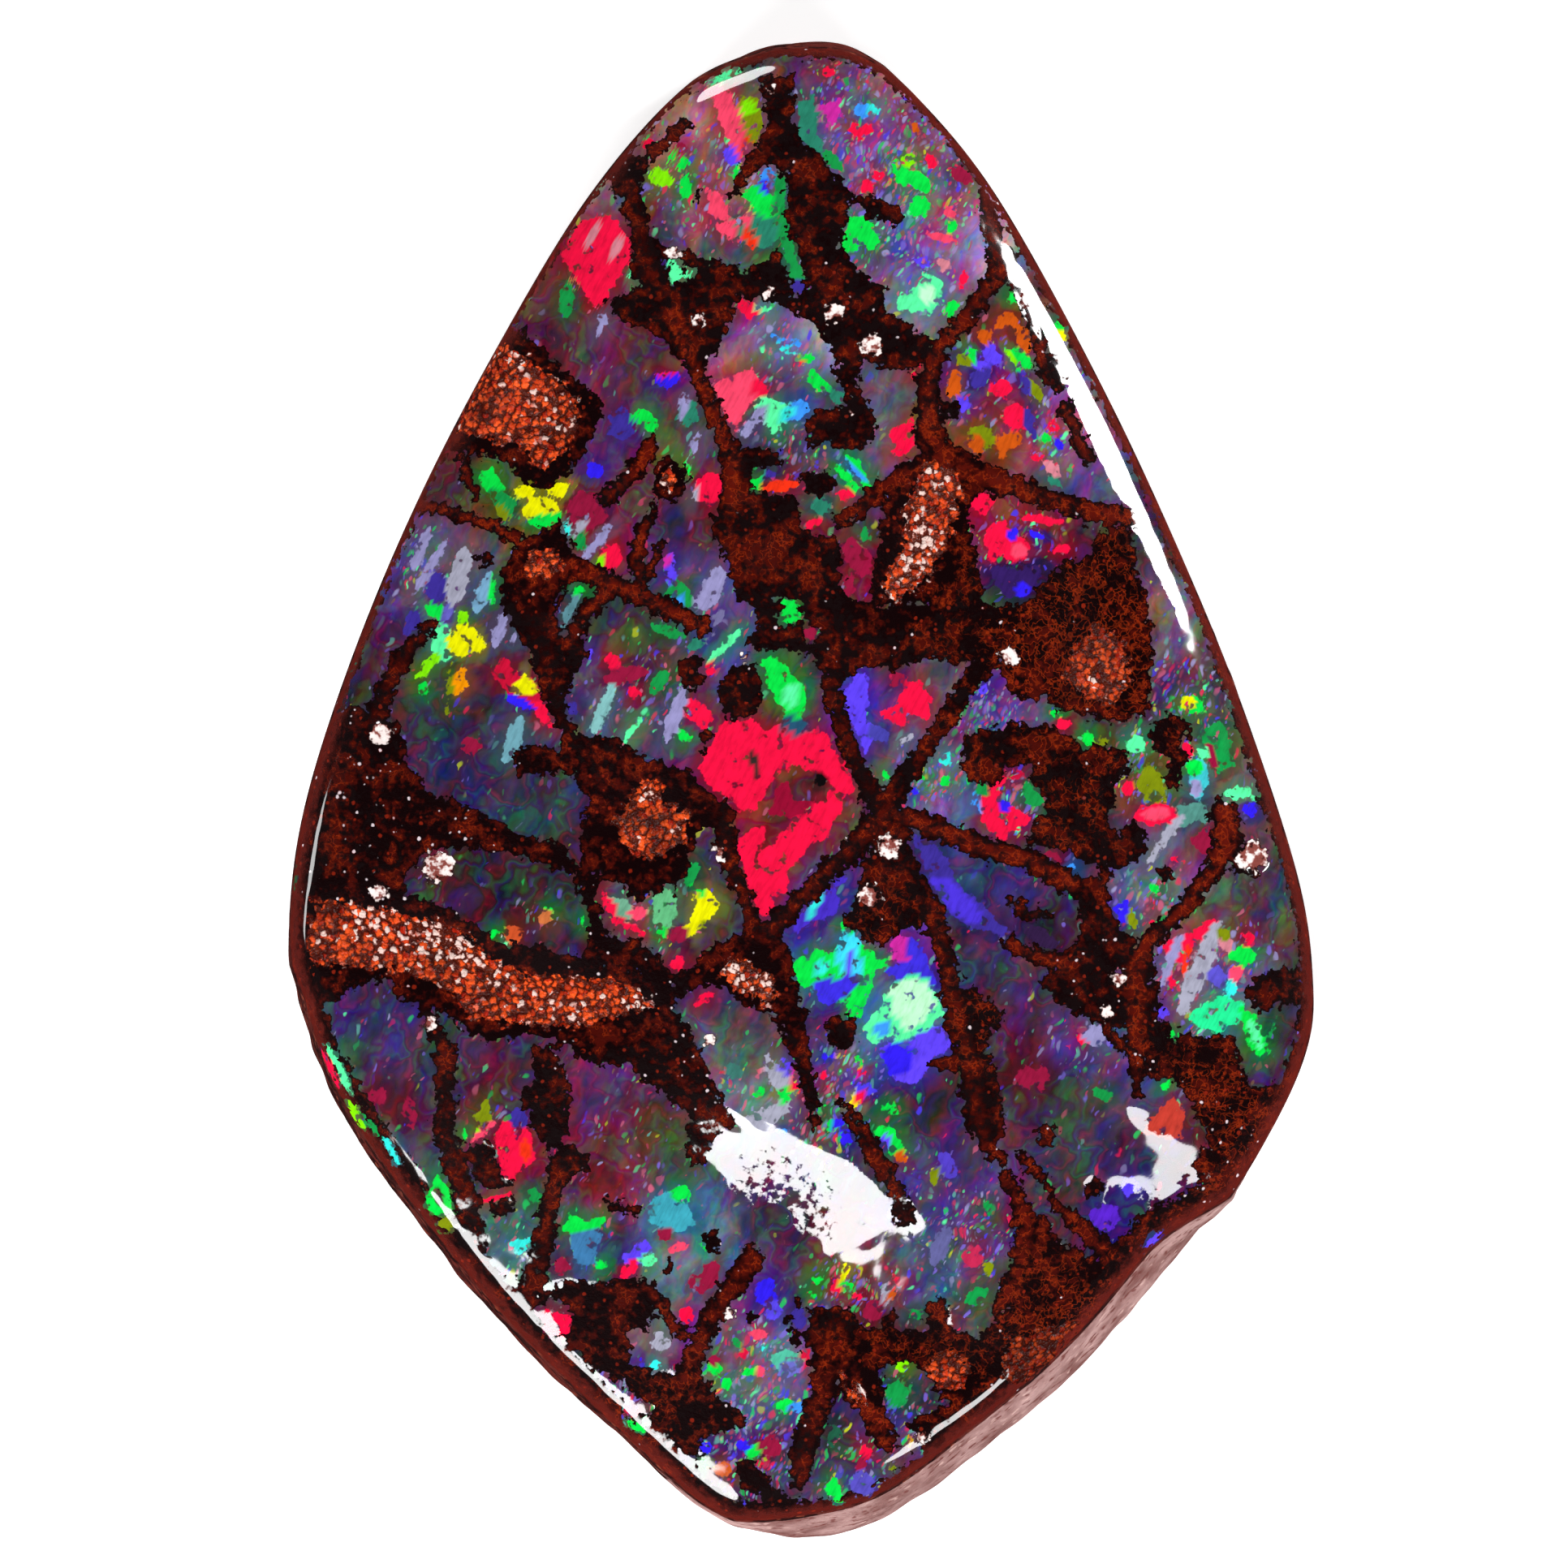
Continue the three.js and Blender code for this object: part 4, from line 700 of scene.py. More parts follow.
# Patches of ironstone, as outlines. The flashes of colour cut into them.
PATCHES = {
    "top column": [
        (936, 92), (978, 92), (980, 150), (1002, 178), (1030, 213), (1052, 240), (1036, 300), (1060, 335),
        (1092, 352), (1088, 382), (1150, 416), (1152, 450), (1106, 458), (1066, 446), (1045, 462),
        (1025, 440), (1010, 402), (960, 374), (915, 366), (905, 385), (880, 440), (855, 455), (838, 440),
        (800, 405), (760, 395), (745, 372), (790, 350), (795, 300), (850, 308), (885, 322), (915, 332),
        (945, 318), (965, 298), (960, 205), (935, 200), (906, 238), (904, 222), (930, 190), (942, 150)
    ],
    "bean": [
        (1056, 245), (1070, 238), (1090, 243), (1110, 255), (1118, 268), (1108, 278), (1090, 272),
        (1068, 268)
    ],
    "small oval": [(854, 230), (861, 226), (867, 238), (862, 250), (855, 249)],
    "left shore of the narrow end": [(745, 215), (772, 190), (795, 196), (790, 240), (770, 235)],
    "black mass": [
        (1040, 440), (1062, 450), (1056, 480), (1075, 500), (1082, 530), (1070, 552), (1040, 556),
        (1018, 545), (995, 552), (990, 520), (1000, 505), (1032, 502), (1038, 485), (1026, 455)
    ],
    "black stone": [(986, 586), (1002, 578), (1024, 580), (1031, 595), (1018, 611), (992, 610)],
    "black bead": [(1156, 494), (1168, 487), (1180, 492), (1184, 506), (1174, 516), (1158, 512)],
    "right rim patch": [(1276, 416), (1300, 440), (1324, 470), (1302, 486), (1284, 470), (1272, 448)],
    "middle mass": [
        (905, 545), (962, 556), (965, 575), (930, 576), (925, 602), (982, 612), (986, 640), (1008, 660),
        (1034, 660), (1036, 702), (1050, 738), (1078, 745), (1140, 742), (1190, 700), (1216, 740),
        (1236, 752), (1250, 800), (1226, 790), (1200, 815), (1180, 822), (1150, 808), (1100, 826),
        (1060, 822), (1035, 850), (1018, 838), (1000, 810), (960, 800), (930, 802), (915, 790), (935, 770),
        (925, 748), (905, 738), (900, 700), (880, 665), (875, 640), (892, 612), (888, 580)
    ],
    "islet left": [(836, 815), (850, 804), (868, 810), (869, 838), (856, 851), (838, 842)],
    "islet right": [(884, 852), (898, 824), (930, 815), (940, 850), (932, 880), (906, 890), (888, 878)],
    "islet low": [(862, 905), (872, 900), (882, 912), (878, 928), (864, 930)],
    "rust surround": [
        (1100, 590), (1150, 560), (1195, 562), (1202, 600), (1195, 640), (1206, 690), (1216, 742),
        (1190, 745), (1140, 745), (1074, 750), (1074, 715), (1086, 650), (1088, 610)
    ],
    "right rust surround": [
        (1345, 660), (1392, 640), (1402, 700), (1416, 750), (1421, 800), (1420, 860), (1412, 882),
        (1380, 890), (1340, 885), (1302, 872), (1290, 862), (1250, 862), (1234, 830), (1224, 800),
        (1212, 740), (1236, 744), (1265, 742), (1292, 708), (1312, 690), (1346, 682)
    ],
    "right dark mass": [
        (1188, 908), (1215, 898), (1250, 890), (1300, 896), (1320, 905), (1332, 918), (1366, 918),
        (1392, 930), (1396, 950), (1374, 965), (1378, 990), (1365, 1010), (1376, 1026), (1396, 1010),
        (1412, 1020), (1416, 1046), (1400, 1062), (1380, 1072), (1340, 1066), (1320, 1050), (1286, 1046),
        (1260, 1032), (1285, 1000), (1290, 985), (1270, 960), (1268, 944), (1240, 945), (1226, 966),
        (1195, 966), (1184, 940)
    ],
    "right dark islet": [
        (1426, 890), (1440, 880), (1465, 890), (1468, 930), (1456, 945), (1452, 975), (1436, 966),
        (1440, 936), (1426, 925), (1415, 906)
    ],
    "right bead": [(1427, 1072), (1437, 1066), (1448, 1072), (1446, 1084), (1432, 1086)],
    "below the hub": [
        (1085, 1000), (1130, 1010), (1120, 1042), (1146, 1090), (1150, 1122), (1130, 1150), (1105, 1146),
        (1085, 1166), (1058, 1160), (1040, 1135), (1055, 1100), (1065, 1055)
    ],
    "river sliver": [(1235, 1102), (1270, 1112), (1300, 1128), (1282, 1140), (1250, 1126)],
    "right of the river": [
        (1320, 1085), (1370, 1075), (1365, 1110), (1386, 1145), (1405, 1165), (1376, 1200), (1400, 1215),
        (1396, 1260), (1380, 1272), (1350, 1262), (1325, 1250), (1300, 1235), (1280, 1210), (1300, 1195),
        (1262, 1180), (1300, 1178), (1332, 1160), (1330, 1120)
    ],
    "lower right corner": [
        (1410, 1170), (1426, 1166), (1426, 1215), (1440, 1260), (1470, 1276), (1500, 1275), (1522, 1280),
        (1530, 1310), (1542, 1340), (1600, 1330), (1560, 1410), (1500, 1480), (1470, 1440), (1490, 1400),
        (1470, 1370), (1455, 1342), (1440, 1330), (1416, 1330), (1408, 1300)
    ],
    "right shore": [
        (1534, 1215), (1560, 1195), (1602, 1190), (1606, 1240), (1580, 1236), (1555, 1250), (1540, 1240)
    ],
    "orange pit ground": [(1515, 1040), (1545, 1035), (1560, 1050), (1550, 1080), (1520, 1080)],
    "lower right blob": [(1276, 1392), (1292, 1380), (1306, 1392), (1298, 1412), (1280, 1414)],
    "lower right bead": [(1334, 1462), (1347, 1450), (1362, 1460), (1360, 1476), (1340, 1480)],
    "lower right ground": [
        (1244, 1545), (1262, 1500), (1292, 1494), (1300, 1530), (1360, 1552), (1400, 1552), (1446, 1500),
        (1480, 1490), (1500, 1470), (1440, 1560), (1300, 1700), (1180, 1790), (1136, 1802), (1130, 1770),
        (1118, 1758), (1134, 1744), (1166, 1732), (1150, 1708), (1130, 1680), (1100, 1678), (1086, 1698),
        (1098, 1752), (1110, 1792), (1090, 1786), (1066, 1770), (1040, 1700), (1000, 1700), (990, 1650),
        (978, 1600), (1002, 1612), (1050, 1622), (1068, 1636), (1086, 1632), (1088, 1612), (1100, 1612),
        (1104, 1640), (1142, 1640), (1140, 1608), (1154, 1598), (1170, 1606), (1172, 1640), (1205, 1648),
        (1240, 1612)
    ],
    "knot in the middle": [
        (1020, 1255), (1050, 1250), (1060, 1270), (1052, 1290), (1036, 1295), (1020, 1285)
    ],
    "knot by the column": [
        (1140, 1302), (1156, 1294), (1178, 1300), (1200, 1330), (1170, 1322), (1148, 1316)
    ],
    "column shoulder": [
        (1150, 1230), (1200, 1215), (1240, 1250), (1215, 1290), (1235, 1340), (1240, 1400), (1210, 1420),
        (1190, 1380), (1180, 1300)
    ],
    "small rust surround": [
        (622, 690), (640, 662), (660, 650), (690, 640), (702, 665), (708, 690), (700, 720), (690, 742),
        (670, 748), (650, 742), (625, 732), (614, 710)
    ],
    "lilac islet": [(584, 682), (602, 680), (606, 694), (592, 698)],
    "trunk foot": [(690, 790), (720, 788), (724, 812), (702, 842), (688, 832)],
    "twig rust": [(808, 566), (838, 566), (849, 590), (840, 612), (815, 619), (802, 600)],
    "left rust surround": [
        (590, 440), (622, 402), (645, 405), (668, 430), (702, 462), (738, 488), (741, 520), (724, 548),
        (715, 562), (692, 592), (662, 602), (640, 592), (625, 572), (600, 562), (570, 562), (545, 550),
        (550, 520)
    ],
    "left middle mass": [
        (700, 900), (760, 910), (800, 935), (850, 950), (880, 985), (905, 1000), (892, 1022), (875, 1012),
        (862, 1030), (850, 1052), (846, 1078), (820, 1120), (800, 1098), (782, 1118), (770, 1090),
        (745, 1082), (720, 1072), (712, 1040), (718, 1000), (730, 985), (715, 970), (700, 952), (640, 955),
        (632, 932), (650, 915), (690, 925)
    ],
    "left shore": [
        (395, 880), (440, 868), (475, 878), (495, 900), (500, 940), (530, 975), (570, 992), (640, 1026),
        (700, 1046), (716, 1076), (700, 1074), (640, 1056), (590, 1046), (560, 1046), (520, 1052),
        (500, 1075), (500, 1100), (560, 1122), (592, 1146), (560, 1142), (480, 1118), (370, 1104),
        (350, 1030), (370, 950)
    ],
    "band surround": [
        (355, 1095), (430, 1095), (500, 1108), (560, 1124), (592, 1145), (618, 1162), (668, 1164),
        (700, 1182), (760, 1190), (800, 1210), (832, 1246), (850, 1262), (846, 1292), (800, 1282),
        (770, 1312), (720, 1312), (700, 1290), (650, 1276), (600, 1286), (565, 1266), (540, 1242),
        (490, 1232), (478, 1206), (440, 1216), (410, 1236), (350, 1226)
    ],
    "between the cells": [
        (702, 1056), (740, 1084), (736, 1110), (750, 1152), (792, 1160), (816, 1184), (826, 1200),
        (836, 1242), (800, 1232), (786, 1200), (750, 1196), (700, 1196), (690, 1180), (722, 1176),
        (726, 1140), (710, 1092)
    ],
    "below the fan": [
        (826, 1205), (850, 1190), (880, 1160), (936, 1146), (962, 1150), (976, 1182), (966, 1220),
        (950, 1250), (920, 1242), (890, 1216), (862, 1216), (845, 1230), (832, 1240)
    ],
    "lower left dark": [
        (655, 1290), (680, 1288), (696, 1320), (703, 1350), (700, 1400), (680, 1422), (664, 1402),
        (645, 1376), (640, 1345), (660, 1330)
    ],
    "sparkling ground": [
        (700, 1268), (790, 1250), (830, 1250), (862, 1290), (882, 1340), (905, 1385), (880, 1402),
        (870, 1432), (850, 1440), (845, 1410), (850, 1380), (820, 1350), (790, 1330), (765, 1302),
        (740, 1312), (710, 1300)
    ],
    "lower left red": [
        (572, 1412), (592, 1402), (612, 1416), (616, 1450), (636, 1462), (600, 1470), (580, 1450)
    ],
    "lower left islet": [
        (672, 1430), (700, 1410), (722, 1420), (728, 1440), (706, 1450), (690, 1470), (676, 1456)
    ],
    "lower left knob": [(602, 1484), (614, 1474), (632, 1478), (636, 1492), (622, 1502), (606, 1498)],
    "lower left crumbs": [(746, 1474), (765, 1480), (766, 1496), (750, 1492)],
    "crumbs two": [(772, 1482), (790, 1486), (786, 1500), (776, 1498)],
    "crumbs three": [(864, 1520), (884, 1512), (890, 1536), (876, 1546), (866, 1538)],
    "crumbs four": [(818, 1560), (826, 1554), (830, 1564), (822, 1568)],
    "broad end left": [
        (604, 1580), (650, 1600), (700, 1578), (740, 1580), (790, 1570), (812, 1600), (800, 1640),
        (772, 1640), (780, 1680), (830, 1692), (862, 1690), (886, 1720), (922, 1746), (915, 1760),
        (880, 1770), (866, 1802), (838, 1788), (806, 1770), (798, 1730), (760, 1702), (735, 1690),
        (702, 1662), (690, 1652), (706, 1620), (690, 1602), (660, 1612), (640, 1640)
    ],
    "broad end islet": [
        (905, 1804), (938, 1798), (950, 1830), (986, 1850), (978, 1872), (940, 1852), (912, 1830)
    ],
    "broad end bead": [(972, 1612), (988, 1640), (982, 1672), (974, 1660), (972, 1640), (964, 1630)],
    "bead over the king": [(920, 1620), (930, 1614), (934, 1626), (924, 1630)],
}

# Rough sandy ironstone, as outlines, with how many of its grains are pale (partly pale grain, partly painted
# glints of light), or below 0 how dark it is
SANDY = {
    "rough band": (0.04, [
        (383, 1112), (425, 1108), (470, 1120), (530, 1130), (572, 1150), (602, 1180), (650, 1200),
        (700, 1205), (752, 1205), (792, 1226), (808, 1242), (780, 1246), (750, 1256), (700, 1268),
        (640, 1262), (590, 1258), (574, 1250), (556, 1226), (530, 1210), (500, 1198), (440, 1192),
        (380, 1190)
    ]),
    "left rust": (0.06, [
        (586, 470), (614, 424), (650, 440), (690, 465), (712, 490), (712, 530), (690, 562), (665, 580),
        (640, 552), (600, 540), (556, 530), (566, 500)
    ]),
    "small rust": (-0.1, [
        (642, 690), (655, 674), (682, 676), (696, 690), (688, 706), (668, 714), (650, 708)
    ]),
    "middle rust": (0.1, [
        (1142, 566), (1180, 578), (1186, 604), (1176, 650), (1158, 690), (1138, 720), (1112, 738),
        (1082, 735), (1092, 710), (1110, 670), (1114, 640), (1116, 615)
    ]),
    "left middle rust": (-0.5, [
        (755, 1012), (790, 962), (814, 960), (820, 985), (850, 1000), (844, 1040), (820, 1054), (790, 1058),
        (764, 1040)
    ]),
    "rust below the fan": (0.0, [
        (886, 1200), (896, 1186), (925, 1186), (950, 1206), (960, 1226), (948, 1243), (925, 1230),
        (900, 1220)
    ]),
    "twig rust grains": (0.25, [(815, 578), (830, 576), (836, 594), (824, 606), (814, 598)]),
    "right rust": (-0.35, [
        (1322, 800), (1350, 770), (1384, 790), (1398, 830), (1376, 866), (1336, 862), (1312, 836)
    ]),
    "lower right rust": (-0.6, [
        (1240, 1650), (1290, 1636), (1330, 1630), (1290, 1690), (1250, 1710), (1232, 1690)
    ]),
    "lower middle rust": (-0.4, [
        (1140, 1672), (1180, 1664), (1200, 1690), (1190, 1712), (1160, 1712), (1142, 1694)
    ]),
    "broad end rust": (-0.3, [(1034, 1690), (1048, 1700), (1066, 1724), (1062, 1740), (1046, 1724)]),
}

# Where the sandy grains are pale, partly pale grain and partly painted glints of light: place, reach, how
# many
PALE_AND_GLINT_PLACES = [
    (415, 1125, 30, 0.4), (470, 1138, 34, 0.6), (520, 1148, 34, 0.85), (570, 1170, 30, 0.9),
    (610, 1200, 24, 0.5), (700, 1230, 40, 0.25), (785, 1235, 16, 0.8), (1142, 665, 18, 0.9),
    (1126, 700, 20, 0.8), (1128, 632, 16, 0.6), (1162, 590, 18, 0.5), (1092, 738, 12, 0.9),
    (935, 1205, 18, 0.9), (905, 1190, 12, 0.6), (640, 430, 22, 0.5), (690, 500, 24, 0.4),
    (800, 978, 18, 1.3), (836, 1018, 16, 1.0), (782, 1036, 14, 0.9), (1350, 838, 14, 0.8),
    (822, 598, 10, 0.8), (1360, 860, 16, 0.4), (1165, 1700, 20, 0.5)
]

# Where the ironstone takes no polish: place, reach, how dull
DULL_PLACES = [
    (1290, 1600, 130, 1.0), (1190, 1740, 110, 0.9), (1400, 1520, 60, 0.8), (1500, 1350, 70, 0.7),
    (1530, 960, 90, 0.7), (760, 1650, 100, 0.9), (870, 1740, 70, 0.8), (600, 1010, 120, 0.5),
    (660, 1190, 70, 1.0), (560, 1130, 60, 0.7), (1350, 780, 110, 0.8), (955, 1500, 90, 0.52),
    (1456, 735, 56, 1.1), (1434, 1380, 18, 1.2), (1385, 1490, 30, 1.0), (1110, 1520, 40, 0.36),
    (1465, 1450, 28, 0.4)
]

# Where the polish is uneven: place, reach, how much
CRINKLED_PLACES = [
    (1000, 1470, 130, 1.0),
    (900, 1400, 50, 0.8),
    (1370, 560, 70, 0.5),
]
RIM_POLISH = 0.25  # how much evener the polish is along the rim

# Where white dots are painted into the ironstone as glints of light on its tiny grains (painted highlights):
# place, reach, how many
PAINTED_GLINT_PLACES = [
    (480, 1105, 50, 0.6), (560, 1125, 50, 0.5), (830, 1215, 30, 0.5), (850, 1270, 40, 0.7),
    (875, 1330, 45, 1.0), (895, 1390, 30, 1.0), (820, 1380, 30, 0.6), (900, 1520, 60, 0.7),
    (970, 1560, 40, 0.6), (770, 1190, 40, 0.4), (1360, 1210, 50, 0.7), (1400, 1320, 36, 0.9),
    (1500, 1395, 50, 1.0), (1430, 1455, 40, 0.8), (1245, 790, 24, 0.9), (1030, 730, 60, 0.25),
    (700, 1290, 40, 0.4), (600, 970, 60, 0.25), (430, 1000, 90, 0.7), (570, 1030, 60, 0.4),
    (700, 1160, 50, 0.4)
]

# Small pits, each with a pale nodule in a dark ring, the nodule's white partly painted glints of light:
# place, radius
PITS = {
    "left": (468, 903, 15),
    "left high": (540, 1068, 20),
    "left low": (466, 1100, 11),
    "hub": (1096, 1043, 15),
    "below the hub": (1072, 1105, 16),
    "top": (1027, 385, 13),
    "top right": (1074, 424, 14),
    "top left": (862, 394, 9),
    "tail": (946, 360, 8),
    "near the star": (832, 310, 9),
    "middle left": (800, 985, 20),
    "middle low": (793, 1000, 14),
    "right hook": (1244, 808, 12),
    "grain by the fan": (888, 1050, 9),
    "near the vein": (921, 810, 8),
    "black mass": (1045, 507, 8),
    "lower left": (528, 1260, 10),
    "right": (1545, 1055, 20),
    "lower right": (1380, 1206, 10),
    "lower right two": (1364, 1248, 9),
    "broad end": (1060, 1718, 10),
    "broad end left": (900, 1618, 6),
    "broad end right": (1136, 1770, 9),
    "lens": (874, 1284, 8),
    "band end": (798, 1236, 10),
    "top end": (950, 110, 7),
}

